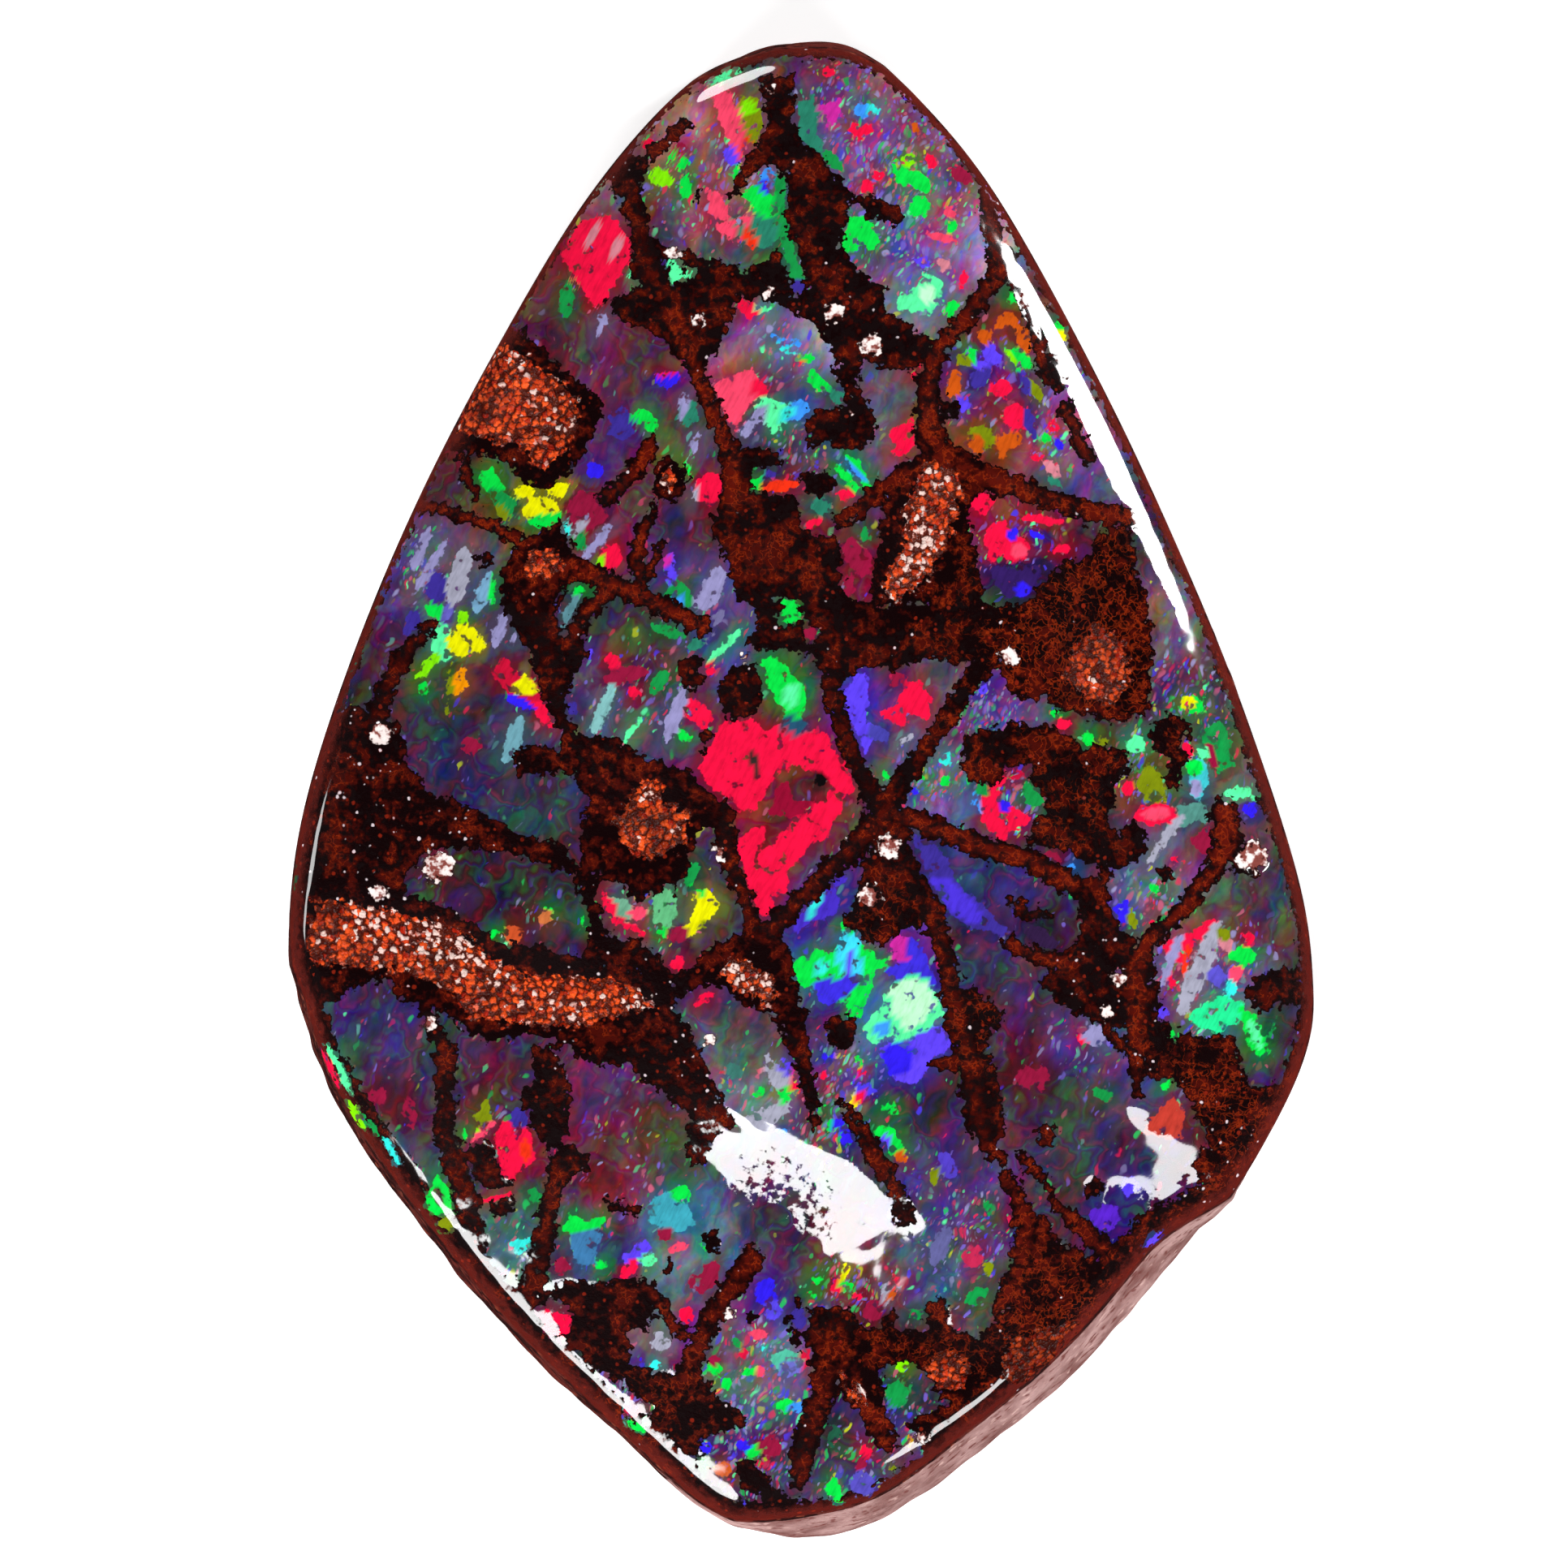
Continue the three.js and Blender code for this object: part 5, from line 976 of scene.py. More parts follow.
# Ground colour of the opal round a place: place, reach, colour 0 to 255
TINTS = {
    "narrow end rose": (875, 150, 50, (150, 70, 95)),
    "narrow end rose low": (880, 230, 55, (170, 105, 125)),
    # painted highlight: a pale sheen along the narrow end's rim, over the opal's paler tone there
    "narrow end rim highlight": (830, 130, 45, (215, 155, 150)),
    "narrow end teal": (930, 290, 40, (50, 110, 90)),
    "narrow end left": (800, 250, 40, (75, 40, 60)),
    "narrow end lilac": (1060, 150, 70, (115, 95, 160)),
    "narrow end right": (1130, 190, 60, (100, 95, 125)),
    "tip": (1010, 80, 50, (80, 65, 80)),
    "tip rim": (1100, 110, 30, (160, 100, 115)),
    "lilac right": (1200, 305, 36, (180, 190, 235)),
    "violet right": (1140, 310, 50, (110, 95, 190)),
    "mint right": (1110, 370, 30, (150, 140, 180)),
    "rose right": (1180, 260, 40, (150, 90, 120)),
    "behind the sail": (700, 330, 50, (110, 50, 60)),
    "above the sail": (735, 240, 30, (160, 130, 140)),
    "below the sail": (740, 410, 50, (92, 46, 72)),
    "upper left wine": (760, 480, 46, (128, 48, 74)),
    "upper left rose": (830, 520, 40, (120, 60, 78)),
    "dim left": (690, 430, 40, (58, 32, 34)),
    "dim wine": (810, 430, 45, (85, 30, 38)),
    "indigo middle": (810, 495, 30, (42, 40, 85)),
    "violet middle": (765, 525, 30, (58, 48, 130)),
    "teal middle": (865, 520, 30, (52, 92, 92)),
    "dim middle": (760, 470, 35, (66, 34, 48)),
    "wine middle": (820, 560, 40, (90, 40, 52)),
    "lilac field": (975, 420, 50, (125, 115, 165)),
    "rose field": (890, 450, 28, (175, 80, 110)),
    "dark field": (960, 470, 30, (50, 45, 75)),
    "lilac field right": (1010, 420, 28, (190, 185, 220)),
    "blue field right": (1010, 490, 30, (60, 60, 120)),
    "grey cell": (1090, 500, 36, (98, 98, 100)),
    "lilac by the tile": (1090, 550, 20, (100, 90, 140)),
    "ribs ground": (1040, 590, 30, (70, 110, 105)),
    "well ground": (1050, 680, 35, (110, 30, 50)),
    "orange ground": (1240, 400, 36, (115, 50, 30)),
    "violet ground": (1220, 460, 34, (72, 50, 150)),
    "rose ground": (1245, 500, 40, (120, 45, 60)),
    "olive ground": (1220, 545, 40, (110, 70, 35)),
    "lilac ground": (1310, 490, 34, (130, 120, 170)),
    "mosaic ground": (1300, 540, 34, (170, 110, 150)),
    "lilac ground low": (1330, 590, 36, (85, 82, 140)),
    "peak ground": (1230, 355, 24, (50, 55, 50)),
    "rim ground high": (1310, 420, 30, (85, 75, 100)),
    "crimson ground": (1240, 640, 40, (130, 40, 60)),
    "blue ground": (1250, 715, 34, (50, 18, 70)),
    "dim ground": (1320, 660, 34, (70, 25, 35)),
    "leaf ground": (640, 615, 44, (80, 90, 30)),
    "left wall": (540, 590, 30, (72, 34, 44)),
    "lilac left": (540, 690, 40, (95, 80, 125)),
    "indigo left": (520, 730, 34, (100, 88, 165)),
    "pearl left": (570, 690, 30, (115, 95, 115)),
    "grey left": (620, 760, 34, (50, 55, 65)),
    "dim left edge": (480, 800, 30, (76, 44, 60)),
    "teal left": (550, 850, 44, (45, 58, 62)),
    "violet left": (560, 935, 50, (42, 36, 85)),
    "indigo left low": (640, 970, 44, (44, 46, 80)),
    "grey left low": (620, 880, 34, (55, 70, 90)),
    "teal left low": (640, 1010, 30, (40, 75, 70)),
    "wine left": (640, 850, 24, (100, 30, 50)),
    "rose left": (720, 640, 34, (125, 35, 65)),
    "wine left low": (750, 680, 30, (110, 40, 60)),
    "dim centre": (770, 770, 44, (52, 38, 44)),
    "wine centre": (770, 830, 44, (105, 38, 62)),
    "lilac centre": (740, 880, 36, (80, 78, 120)),
    "teal centre": (810, 850, 36, (45, 80, 70)),
    "blue centre": (830, 900, 34, (60, 60, 110)),
    "violet centre": (800, 700, 34, (60, 50, 110)),
    "lilac centre right": (880, 730, 36, (95, 90, 150)),
    "lilac centre low": (890, 790, 34, (70, 75, 140)),
    "dim centre high": (850, 650, 36, (62, 42, 52)),
    "green centre": (840, 735, 26, (50, 110, 95)),
    "fan ground": (950, 950, 60, (120, 20, 45)),
    "fan ground grey": (990, 970, 24, (70, 55, 60)),
    "fan ground low": (990, 1060, 30, (90, 55, 60)),
    "shield ground": (960, 850, 30, (60, 90, 50)),
    "kite ground": (1110, 910, 36, (95, 92, 125)),
    "kite ground high": (1150, 840, 34, (100, 78, 90)),
    "kite ground blue": (1060, 880, 30, (80, 65, 190)),
    "maroon window": (1175, 780, 26, (110, 50, 60)),
    "mosaic right": (1220, 880, 36, (85, 80, 145)),
    "mosaic right low": (1150, 975, 36, (110, 105, 150)),
    "mosaic far": (1260, 1000, 30, (90, 60, 100)),
    "river ground": (1160, 1070, 36, (60, 60, 140)),
    "river ground right": (1230, 1110, 44, (48, 44, 110)),
    "river ground teal": (1240, 1070, 30, (48, 52, 90)),
    "river foot ground": (1290, 1150, 26, (52, 30, 48)),
    "right edge pearl": (1450, 770, 36, (115, 105, 120)),
    "right edge wine": (1470, 830, 34, (85, 45, 75)),
    "right edge teal": (1500, 920, 34, (60, 100, 80)),
    "right edge rose": (1530, 960, 26, (120, 75, 90)),
    "right edge low": (1570, 1130, 44, (76, 62, 66)),
    "right lilac": (1440, 1060, 36, (105, 105, 150)),
    "right teal": (1420, 1100, 30, (85, 125, 145)),
    "right olive": (1410, 960, 30, (85, 95, 45)),
    "right dim": (1420, 870, 30, (60, 50, 70)),
    "right shoulder": (1560, 1060, 30, (80, 70, 75)),
    "ribbon ground": (1010, 1110, 34, (62, 50, 150)),
    "arch ground": (1010, 1180, 36, (70, 70, 160)),
    "cheek ground": (1120, 1180, 34, (110, 50, 150)),
    "small cells": (1000, 1260, 30, (70, 62, 85)),
    "mint ground": (1120, 1260, 44, (80, 90, 220)),
    "blue cells": (1030, 1320, 36, (85, 78, 150)),
    "glove ground": (870, 1100, 30, (60, 62, 66)),
    "arc ground": (800, 1120, 34, (95, 80, 100)),
    "dark cell": (630, 1100, 60, (44, 24, 28)),
    "dark cell right": (690, 1130, 34, (58, 60, 60)),
    "corner indigo": (440, 1270, 54, (54, 50, 98)),
    "corner indigo low": (520, 1290, 36, (50, 52, 96)),
    "corner wine": (480, 1360, 50, (88, 28, 48)),
    "corner violet": (520, 1430, 40, (68, 54, 105)),
    "second indigo": (600, 1280, 30, (50, 44, 88)),
    "second wine": (600, 1320, 34, (78, 28, 38)),
    "third violet": (740, 1340, 44, (84, 48, 92)),
    "third wine": (750, 1410, 54, (98, 32, 56)),
    "third green": (820, 1420, 36, (50, 85, 58)),
    "third wine low": (760, 1470, 40, (110, 30, 55)),
    "flag ground": (620, 1420, 30, (110, 25, 45)),
    "teal island": (650, 1530, 44, (62, 92, 96)),
    "sky island": (720, 1530, 30, (55, 80, 130)),
    "indigo island": (758, 1530, 26, (24, 18, 62)),
    "coat ground": (830, 1510, 40, (66, 150, 165)),
    "lilac coat": (850, 1560, 36, (125, 130, 185)),
    "green coat": (820, 1595, 26, (60, 105, 90)),
    "lilac coat low": (850, 1620, 24, (110, 100, 150)),
    "rim island": (540, 1500, 30, (80, 110, 70)),
    "low island": (810, 1660, 30, (110, 105, 120)),
    "low edge": (770, 1730, 36, (84, 66, 100)),
    "lens ground": (930, 1350, 40, (135, 140, 150)),
    "lens ground green": (905, 1310, 30, (100, 125, 150)),
    "lens ground high": (890, 1260, 34, (62, 68, 92)),
    "lens ground right": (950, 1270, 30, (75, 72, 92)),
    "below the lens": (1000, 1400, 44, (78, 60, 82)),
    "dark pool": (1130, 1370, 44, (36, 40, 56)),
    "violet bank": (1180, 1450, 54, (72, 56, 128)),
    "violet bank low": (1200, 1520, 44, (78, 62, 128)),
    "teal bank": (1150, 1560, 40, (76, 92, 130)),
    "green bank": (1200, 1600, 34, (70, 92, 96)),
    "wine bank right": (1240, 1500, 24, (88, 14, 24)),
    "tower ground": (1040, 1590, 44, (95, 50, 50)),
    "maroon end": (1270, 1600, 44, (66, 26, 34)),
    "slate right": (1240, 1200, 50, (48, 52, 72)),
    "wine right": (1270, 1310, 54, (74, 22, 30)),
    "violet far right": (1350, 1280, 44, (85, 78, 145)),
    "teal far right": (1340, 1390, 50, (44, 66, 70)),
    "violet by the corner": (1390, 1340, 36, (70, 66, 110)),
    "indigo far right": (1390, 1490, 50, (34, 24, 86)),
    "slate far right": (1310, 1440, 36, (48, 58, 68)),
    "mantle ground": (1470, 1190, 36, (150, 95, 130)),
    "muff ground": (1510, 1210, 34, (95, 90, 165)),
    "green right ground": (1500, 1250, 30, (80, 120, 140)),
    "shard ground": (1580, 1290, 34, (55, 48, 62)),
    "corner ground": (1440, 1330, 26, (66, 62, 100)),
    "king ground": (940, 1610, 34, (82, 50, 120)),
    "cushion ground": (950, 1670, 40, (118, 118, 165)),
    "pip ground": (920, 1715, 40, (92, 92, 118)),
    "mosaic end": (950, 1760, 40, (66, 60, 130)),
    "ring ground": (890, 1800, 34, (75, 50, 80)),
    "fan end": (1035, 1790, 40, (58, 36, 44)),
    "fan end low": (1050, 1840, 36, (78, 70, 130)),
    "wing ground": (1120, 1720, 36, (52, 48, 66)),
    "wing ground low": (1110, 1770, 26, (72, 60, 110)),
}
GROUND_TINT = (60, 40, 56)

# Where the ironstone has wavy orange lines: place, reach, how strong
LINED_PLACES = [
    (1350, 770, 160, 1.0), (1500, 1370, 100, 0.8), (1320, 980, 70, 0.6), (1210, 1262, 50, 0.7),
    (1090, 1140, 50, 0.6), (1130, 1680, 80, 0.6), (1310, 1640, 90, 0.9), (1190, 1680, 50, 0.8),
    (800, 1730, 80, 0.4)
]

# Where the opal breaks into a mosaic of bright chips: place, reach, how many chips are bright
MOSAICS = {
    "narrow end left": (870, 210, 75, 0.55),
    "narrow end right": (1110, 230, 110, 0.8),
    "tip": (1040, 110, 50, 0.6),
    "below the tail": (960, 430, 50, 0.35),
    "upper middle": (990, 560, 40, 0.6),
    "right of the top": (1240, 470, 60, 0.35),
    "mosaic by the short bar": (1300, 530, 34, 0.9),
    "crimson cell": (1250, 660, 50, 0.4),
    "left lilac": (510, 690, 40, 0.4),
    "left middle": (800, 850, 60, 0.35),
    "centre right": (1220, 880, 36, 1.0),
    "centre right low": (1150, 960, 36, 1.0),
    "flower": (1250, 980, 34, 0.7),
    "right edge": (1460, 860, 60, 0.55),
    "right olive": (1410, 950, 40, 0.9),
    "right cell": (1420, 1110, 40, 0.7),
    "mantle": (1450, 1190, 34, 0.7),
    "muff": (1520, 1180, 34, 0.6),
    "lawn": (1490, 1260, 30, 0.7),
    "far right": (1340, 1290, 50, 0.25),
    "lower left": (620, 1390, 40, 0.4),
    "lower left teal": (640, 1550, 44, 0.35),
    "third cell": (790, 1440, 90, 0.16),
    "lens": (930, 1340, 36, 0.4),
    "cells by the knot": (1030, 1340, 50, 0.6),
    "dust": (1020, 1400, 34, 0.8),
    "violet bank": (1190, 1520, 70, 0.45),
    "towers": (1050, 1585, 40, 0.8),
    "king": (930, 1660, 50, 0.5),
    "pips": (920, 1740, 60, 0.8),
    "broad end": (930, 1800, 44, 0.9),
    "broad end right": (1060, 1810, 50, 0.5),
    "wing": (1110, 1740, 40, 0.5),
    "low edge": (770, 1725, 36, 0.7),
    "arc": (800, 1120, 44, 0.4),
    "dark cell": (660, 1130, 50, 0.12),
    "right rim high": (1330, 440, 40, 0.5),
}
MOSAIC_EVERYWHERE = 0.03

# The face's edge is bare ironstone for some way in: degrees round the stone, width in pixels
RIM_BAND = {
    -180: 7, -172: 8, -160: 22, -150: 30, -130: 34, -110: 32, -98: 30, -90: 20, -80: 16, -65: 26, -50: 42,
    -40: 34, -28: 22, -15: 16, 0: 18, 20: 14, 40: 10, 60: 12, 76: 10, 90: 14, 100: 8, 120: 6, 140: 7,
    160: 12, 170: 9
}


def smooth(value, low, high):
    """0 below low and 1 above high, with no corner between them."""
    share = np.clip((value - low) / (high - low), 0, 1)
    return share * share * (3 - 2 * share)


def linear(colour):
    """A colour of 0 to 255 as the red, green and blue that the shader works in."""
    share = np.array(colour) / 255
    return np.where(share < 0.04045, share / 12.92, ((share + 0.055) / 1.055) ** 2.4)


# The stone's outline and face
def outline_points():
    """Catmull-Rom through the outline's points, going once round."""
    points = np.array(OUTLINE)
    before, after, beyond = (np.roll(points, step, axis=0) for step in (1, -1, -2))
    rows = []
    for t in np.arange(OUTLINE_STEPS) / OUTLINE_STEPS:
        start_slope = (after - before) / 2
        end_slope = (beyond - points) / 2
        cubic = 2 * points - 2 * after + start_slope + end_slope
        square = -3 * points + 3 * after - 2 * start_slope - end_slope
        rows.append(points + start_slope * t + square * t**2 + cubic * t**3)
    return np.stack(rows, axis=1).reshape(-1, 2)


ring_points = outline_points() - MIDDLE
ring_angles = np.arctan2(ring_points[:, 1], ring_points[:, 0])
ring_order = np.argsort(ring_angles)
ring_angles = ring_angles[ring_order]
ring_reach = np.hypot(ring_points[:, 0], ring_points[:, 1])[ring_order]


def outline_reach(angle):
    return np.interp(angle, ring_angles, ring_reach, period=2 * math.pi)


def wall_lean(angle):
    """Over 0 where the back is the wider, below 0 where the rim of the face is."""
    at = np.degrees(angle)
    lean = np.full_like(at, -WALL_TUCK)
    for start, end, fade, most in WALL_LEANS.values():
        share = smooth(at, start, start + fade) * (1 - smooth(at, end - fade, end))
        lean = np.maximum(lean, -WALL_TUCK + (most + WALL_TUCK) * share)
    return lean


def from_middle(angle, reach):
    """The place in a direction and at a distance from the middle."""
    return MIDDLE[0] + reach * np.cos(angle), MIDDLE[1] + reach * np.sin(angle)


def rim_reach(angle):
    return outline_reach(angle) - np.maximum(wall_lean(angle), 0)


def back_reach(angle):
    return outline_reach(angle) + np.minimum(wall_lean(angle), 0)


def distance_to_line(x, y, line, widths=None):
    """How far each place is from a line of points, less the line's half width there."""
    nearest = np.full_like(x, 1e9)
    halves = np.zeros(len(line)) if widths is None else np.array(widths) / 2
    for (ax, ay), (bx, by), start, end in zip(line[:-1], line[1:], halves[:-1], halves[1:]):
        dx, dy = bx - ax, by - ay
        along = np.clip(((x - ax) * dx + (y - ay) * dy) / (dx * dx + dy * dy), 0, 1)
        away = np.hypot(x - ax - along * dx, y - ay - along * dy)
        nearest = np.minimum(nearest, away - start - (end - start) * along)
    return nearest


def rim_distance(x, y):
    angle = np.linspace(-math.pi, math.pi, RIM_STEPS + 1)
    return distance_to_line(x, y, np.stack(from_middle(angle, rim_reach(angle)), axis=1))


def face_height(x, y, ring, angle, inward):
    """The height of the polished face above the back. ring is 0 in the middle and 1 at the rim."""
    broadness = (0.5 + 0.5 * np.cos(angle - math.radians(EDGE_BROAD_SIDE))) ** 2
    width = EDGE_TIGHT + (EDGE_BROAD - EDGE_TIGHT) * broadness
    rolled = EDGE_DROP * np.sqrt(1 - (1 - np.minimum(inward / width, 1)) ** 2)
    domed = DOME_RISE * (1 - ring**DOME_FULLNESS)
    forms = np.zeros_like(x)
    for (at_x, at_y), (long, wide), turn, rise in FACE_FORMS.values():
        dx, dy = x - at_x, y - at_y
        c, s = math.cos(math.radians(turn)), math.sin(math.radians(turn))
        forms += rise * np.exp(-(((dx * c + dy * s) / long) ** 2) - ((dy * c - dx * s) / wide) ** 2)
    return WALL_HEIGHT + rolled + domed + smooth(inward / (2 * width), 0, 1) * forms


def to_photo(x, y, z):
    """Where the camera sees a place, in the photograph's pixels."""
    nearer = (CAMERA_HEIGHT - WALL_HEIGHT) / (CAMERA_HEIGHT - z)
    return (
        PHOTO_MIDDLE + (x - CAMERA_OVER[0]) * nearer / MM_PER_PIXEL,
        PHOTO_MIDDLE - (y - CAMERA_OVER[1]) * nearer / MM_PER_PIXEL,
    )


# The pattern on the face: every field is worked out for all places at once, in pixels
FAR = 60.0  # distances aren't worked out beyond this
OVERLAP = 1.5  # a flash that lies over another keeps its colour this far outside its edge
CORE_SHARE = 0.5  # the share of a vein's width that its red core takes
CORE_FADE = (-3, 4)  # from just outside the core to inside it
GROUND_WEIGHT = 0.06  # how much the general ground colour counts beside the tints
BARE_RIM = (0.35, 0.7)  # in millimetres from the rim: the face's own dullness starts between these
SAND_DULLS = (-45, -15)  # the polish gives way between these, outside a sandy patch


def outline_distance(x, y, points):
    """Below 0 inside a closed outline."""
    inside = np.zeros(x.shape, bool)
    for (ax, ay), (bx, by) in zip(points, points[1:] + points[:1]):
        if ay != by:
            inside ^= ((ay > y) != (by > y)) & (x < (bx - ax) * (y - ay) / (by - ay) + ax)
    away = distance_to_line(x, y, points + points[:1])
    return np.where(inside, -away, away)


def lens_distance(x, y, points, width):
    """Below 0 inside a lens that runs from point to point."""
    (ax, ay), (bx, by) = points
    length = math.hypot(bx - ax, by - ay)
    along = ((x - ax) * (bx - ax) + (y - ay) * (by - ay)) / length**2
    away = distance_to_line(x, y, points)
    return away - width / 2 * np.sqrt(np.clip(4 * along * (1 - along), 0, 1))


def near(x, y, points):
    """The places within reach of some points."""
    xs, ys = [p[0] for p in points], [p[1] for p in points]
    return (x > min(xs) - FAR) & (x < max(xs) + FAR) & (y > min(ys) - FAR) & (y < max(ys) + FAR)


def patch_field(x, y):
    """The distance to the nearest patch of ironstone."""
    nearest = np.full_like(x, FAR)
    for points in PATCHES.values():
        here = near(x, y, points)
        nearest[here] = np.minimum(nearest[here], outline_distance(x[here], y[here], points))
    return nearest


def vein_fields(x, y):
    """The distance to the nearest vein, and how near its red core is."""
    nearest, core = np.full_like(x, FAR), np.zeros_like(x)
    for redness, points in VEINS.values():
        here = near(x, y, points)
        line, widths = [p[:2] for p in points], [p[2] for p in points]
        nearest[here] = np.minimum(nearest[here], distance_to_line(x[here], y[here], line, widths))
        middle = distance_to_line(x[here], y[here], line, [CORE_SHARE * width for width in widths])
        core[here] = np.maximum(core[here], redness * smooth(-middle, *CORE_FADE))
    return nearest, core


def flash_shapes():
    """Every flash's colour, points, and way to measure the distance to it, the topmost last."""
    for colour, growth, points in FLASHES.values():
        yield colour, points, lambda x, y: outline_distance(x, y, points) - growth
    for colour, lenses in FLASH_LENSES:
        for from_x, from_y, to_x, to_y, width in lenses:
            ends = [(from_x, from_y), (to_x, to_y)]
            yield colour, ends, lambda x, y: lens_distance(x, y, ends, width)
    for colour, dots in FLASH_DOTS:
        for at_x, at_y, radius in dots:
            yield colour, [(at_x, at_y)], lambda x, y: np.hypot(x - at_x, y - at_y) - radius


def flash_fields(x, y):
    """The distance to the nearest flash, and that flash's colour."""
    nearest = np.full_like(x, FAR)
    colour = np.tile(linear(GROUND_TINT), (len(x), 1))
    for shade, points, measure in flash_shapes():
        here = np.flatnonzero(near(x, y, points))
        away = measure(x[here], y[here])
        wins = (away < nearest[here]) | (away < OVERLAP)
        colour[here[wins]] = linear(shade)
        nearest[here] = np.minimum(nearest[here], away)
    return nearest, colour


def soft_spot(x, y, at_x, at_y, reach):
    """1 at a place, and fading away round it."""
    return np.exp(-(((x - at_x) ** 2 + (y - at_y) ** 2) / reach**2))


def spots(x, y, places):
    """The strongest of some soft spots: place, reach and strength."""
    strongest = np.zeros_like(x)
    for at_x, at_y, reach, strength in places:
        strongest = np.maximum(strongest, strength * soft_spot(x, y, at_x, at_y, reach))
    return strongest


def tint_field(x, y):
    """The opal's ground colour, blended from the tints round about."""
    weight = np.full_like(x, GROUND_WEIGHT)
    total = weight[:, None] * linear(GROUND_TINT)
    for at_x, at_y, reach, shade in TINTS.values():
        share = soft_spot(x, y, at_x, at_y, reach)
        weight += share
        total += share[:, None] * linear(shade)
    return total / weight[:, None]


def sandy_fields(x, y):
    """The distance to the nearest sandy patch, and how pale its grains are, partly as painted glints of
    light.
    """
    nearest, pale = np.full_like(x, FAR), np.zeros_like(x)
    for paleness, points in SANDY.values():
        here = np.flatnonzero(near(x, y, points))
        away = outline_distance(x[here], y[here], points)
        wins = away < nearest[here]
        pale[here[wins]] = paleness
        nearest[here] = np.minimum(nearest[here], away)
    return nearest, pale + spots(x, y, PALE_AND_GLINT_PLACES)


def pit_field(x, y):
    nearest = np.full_like(x, FAR)
    for at_x, at_y, radius in PITS.values():
        nearest = np.minimum(nearest, np.hypot(x - at_x, y - at_y) - radius)
    return nearest


def face_fields(x, y, z, inward, angle):
    """Every field of the face's pattern, in millimetres where it is a distance."""
    px, py = to_photo(x, y, z)
    veins, core = vein_fields(px, py)
    flashes, flash_colour = flash_fields(px, py)
    patches = patch_field(px, py)
    inner = smooth(inward, *BARE_RIM)
    band_width = np.interp(np.degrees(angle), list(RIM_BAND), list(RIM_BAND.values()), period=360)
    band = inward / MM_PER_PIXEL - band_width
    ironstone = np.minimum(np.minimum(veins, np.maximum(patches, -flashes)), np.maximum(band, -flashes))
    flashes = np.maximum(flashes, -veins - 1)
    sandy, pale = sandy_fields(px, py)
    dulled = np.maximum(smooth(-sandy, *SAND_DULLS), spots(px, py, DULL_PLACES))
    return {
        "ironstone": -ironstone * MM_PER_PIXEL,
        "vein_core": core,
        "flash": -flashes * MM_PER_PIXEL,
        "flash_colour": flash_colour,
        "tint": tint_field(px, py),
        "mosaic": np.maximum(MOSAIC_EVERYWHERE, spots(px, py, MOSAICS.values())),
        "sandy": -sandy * MM_PER_PIXEL,
        # pale sandy grains, partly painted glints of light; below 0 the sand is darker
        "sandy_pale": pale,
        "pit": -pit_field(px, py) * MM_PER_PIXEL,
        "dulled": inner * dulled - RIM_POLISH * (1 - inner),
        # painted highlights: where white glint dots are painted on the ironstone
        "sparkle": spots(px, py, PAINTED_GLINT_PLACES),
        "pink_flank": np.zeros_like(x),
        "lined": spots(px, py, LINED_PLACES),
        "inward": inward,
    }


# The stone's mesh
def lumps(places, size, seed):
    """Smooth random lumps of about -1 to 1, that many millimetres across."""
    return np.array([noise.noise(Vector(p) / size + Vector((seed, 0, 0))) for p in places])


def wall_places(angle, height):
    """The places round the side wall at one height."""
    level = max(height / WALL_HEIGHT, 0)
    straight = back_reach(angle) + (rim_reach(angle) - back_reach(angle)) * level
    flat = np.full_like(angle, height)
    on_ring = np.stack([WALL_RING * np.cos(angle), WALL_RING * np.sin(angle), flat], axis=1)
    relief = WALL_LUMPS * lumps(on_ring, *WALL_COARSE_LUMPS) + WALL_PITS * lumps(on_ring, *WALL_FINE_LUMPS)
    calm = smooth(WALL_HEIGHT - height, 0, WALL_CALM)
    bevel = BACK_BEVEL * (1 - smooth(height, 0, BEVEL_HEIGHT))
    reach = straight + WALL_SWELL * math.sin(math.pi * level) + relief * calm - bevel
    return np.stack([*from_middle(angle, reach), flat], axis=1)


def pink_flank(angle):
    """1 where the wall is the pink ground flank, at the lower right."""
    at = np.degrees(angle)
    return smooth(at, *PINK_STARTS) * (1 - smooth(at, *PINK_ENDS))


def put(verts, places):
    for vert, place in zip(verts, places):
        vert.co = Vector(place)


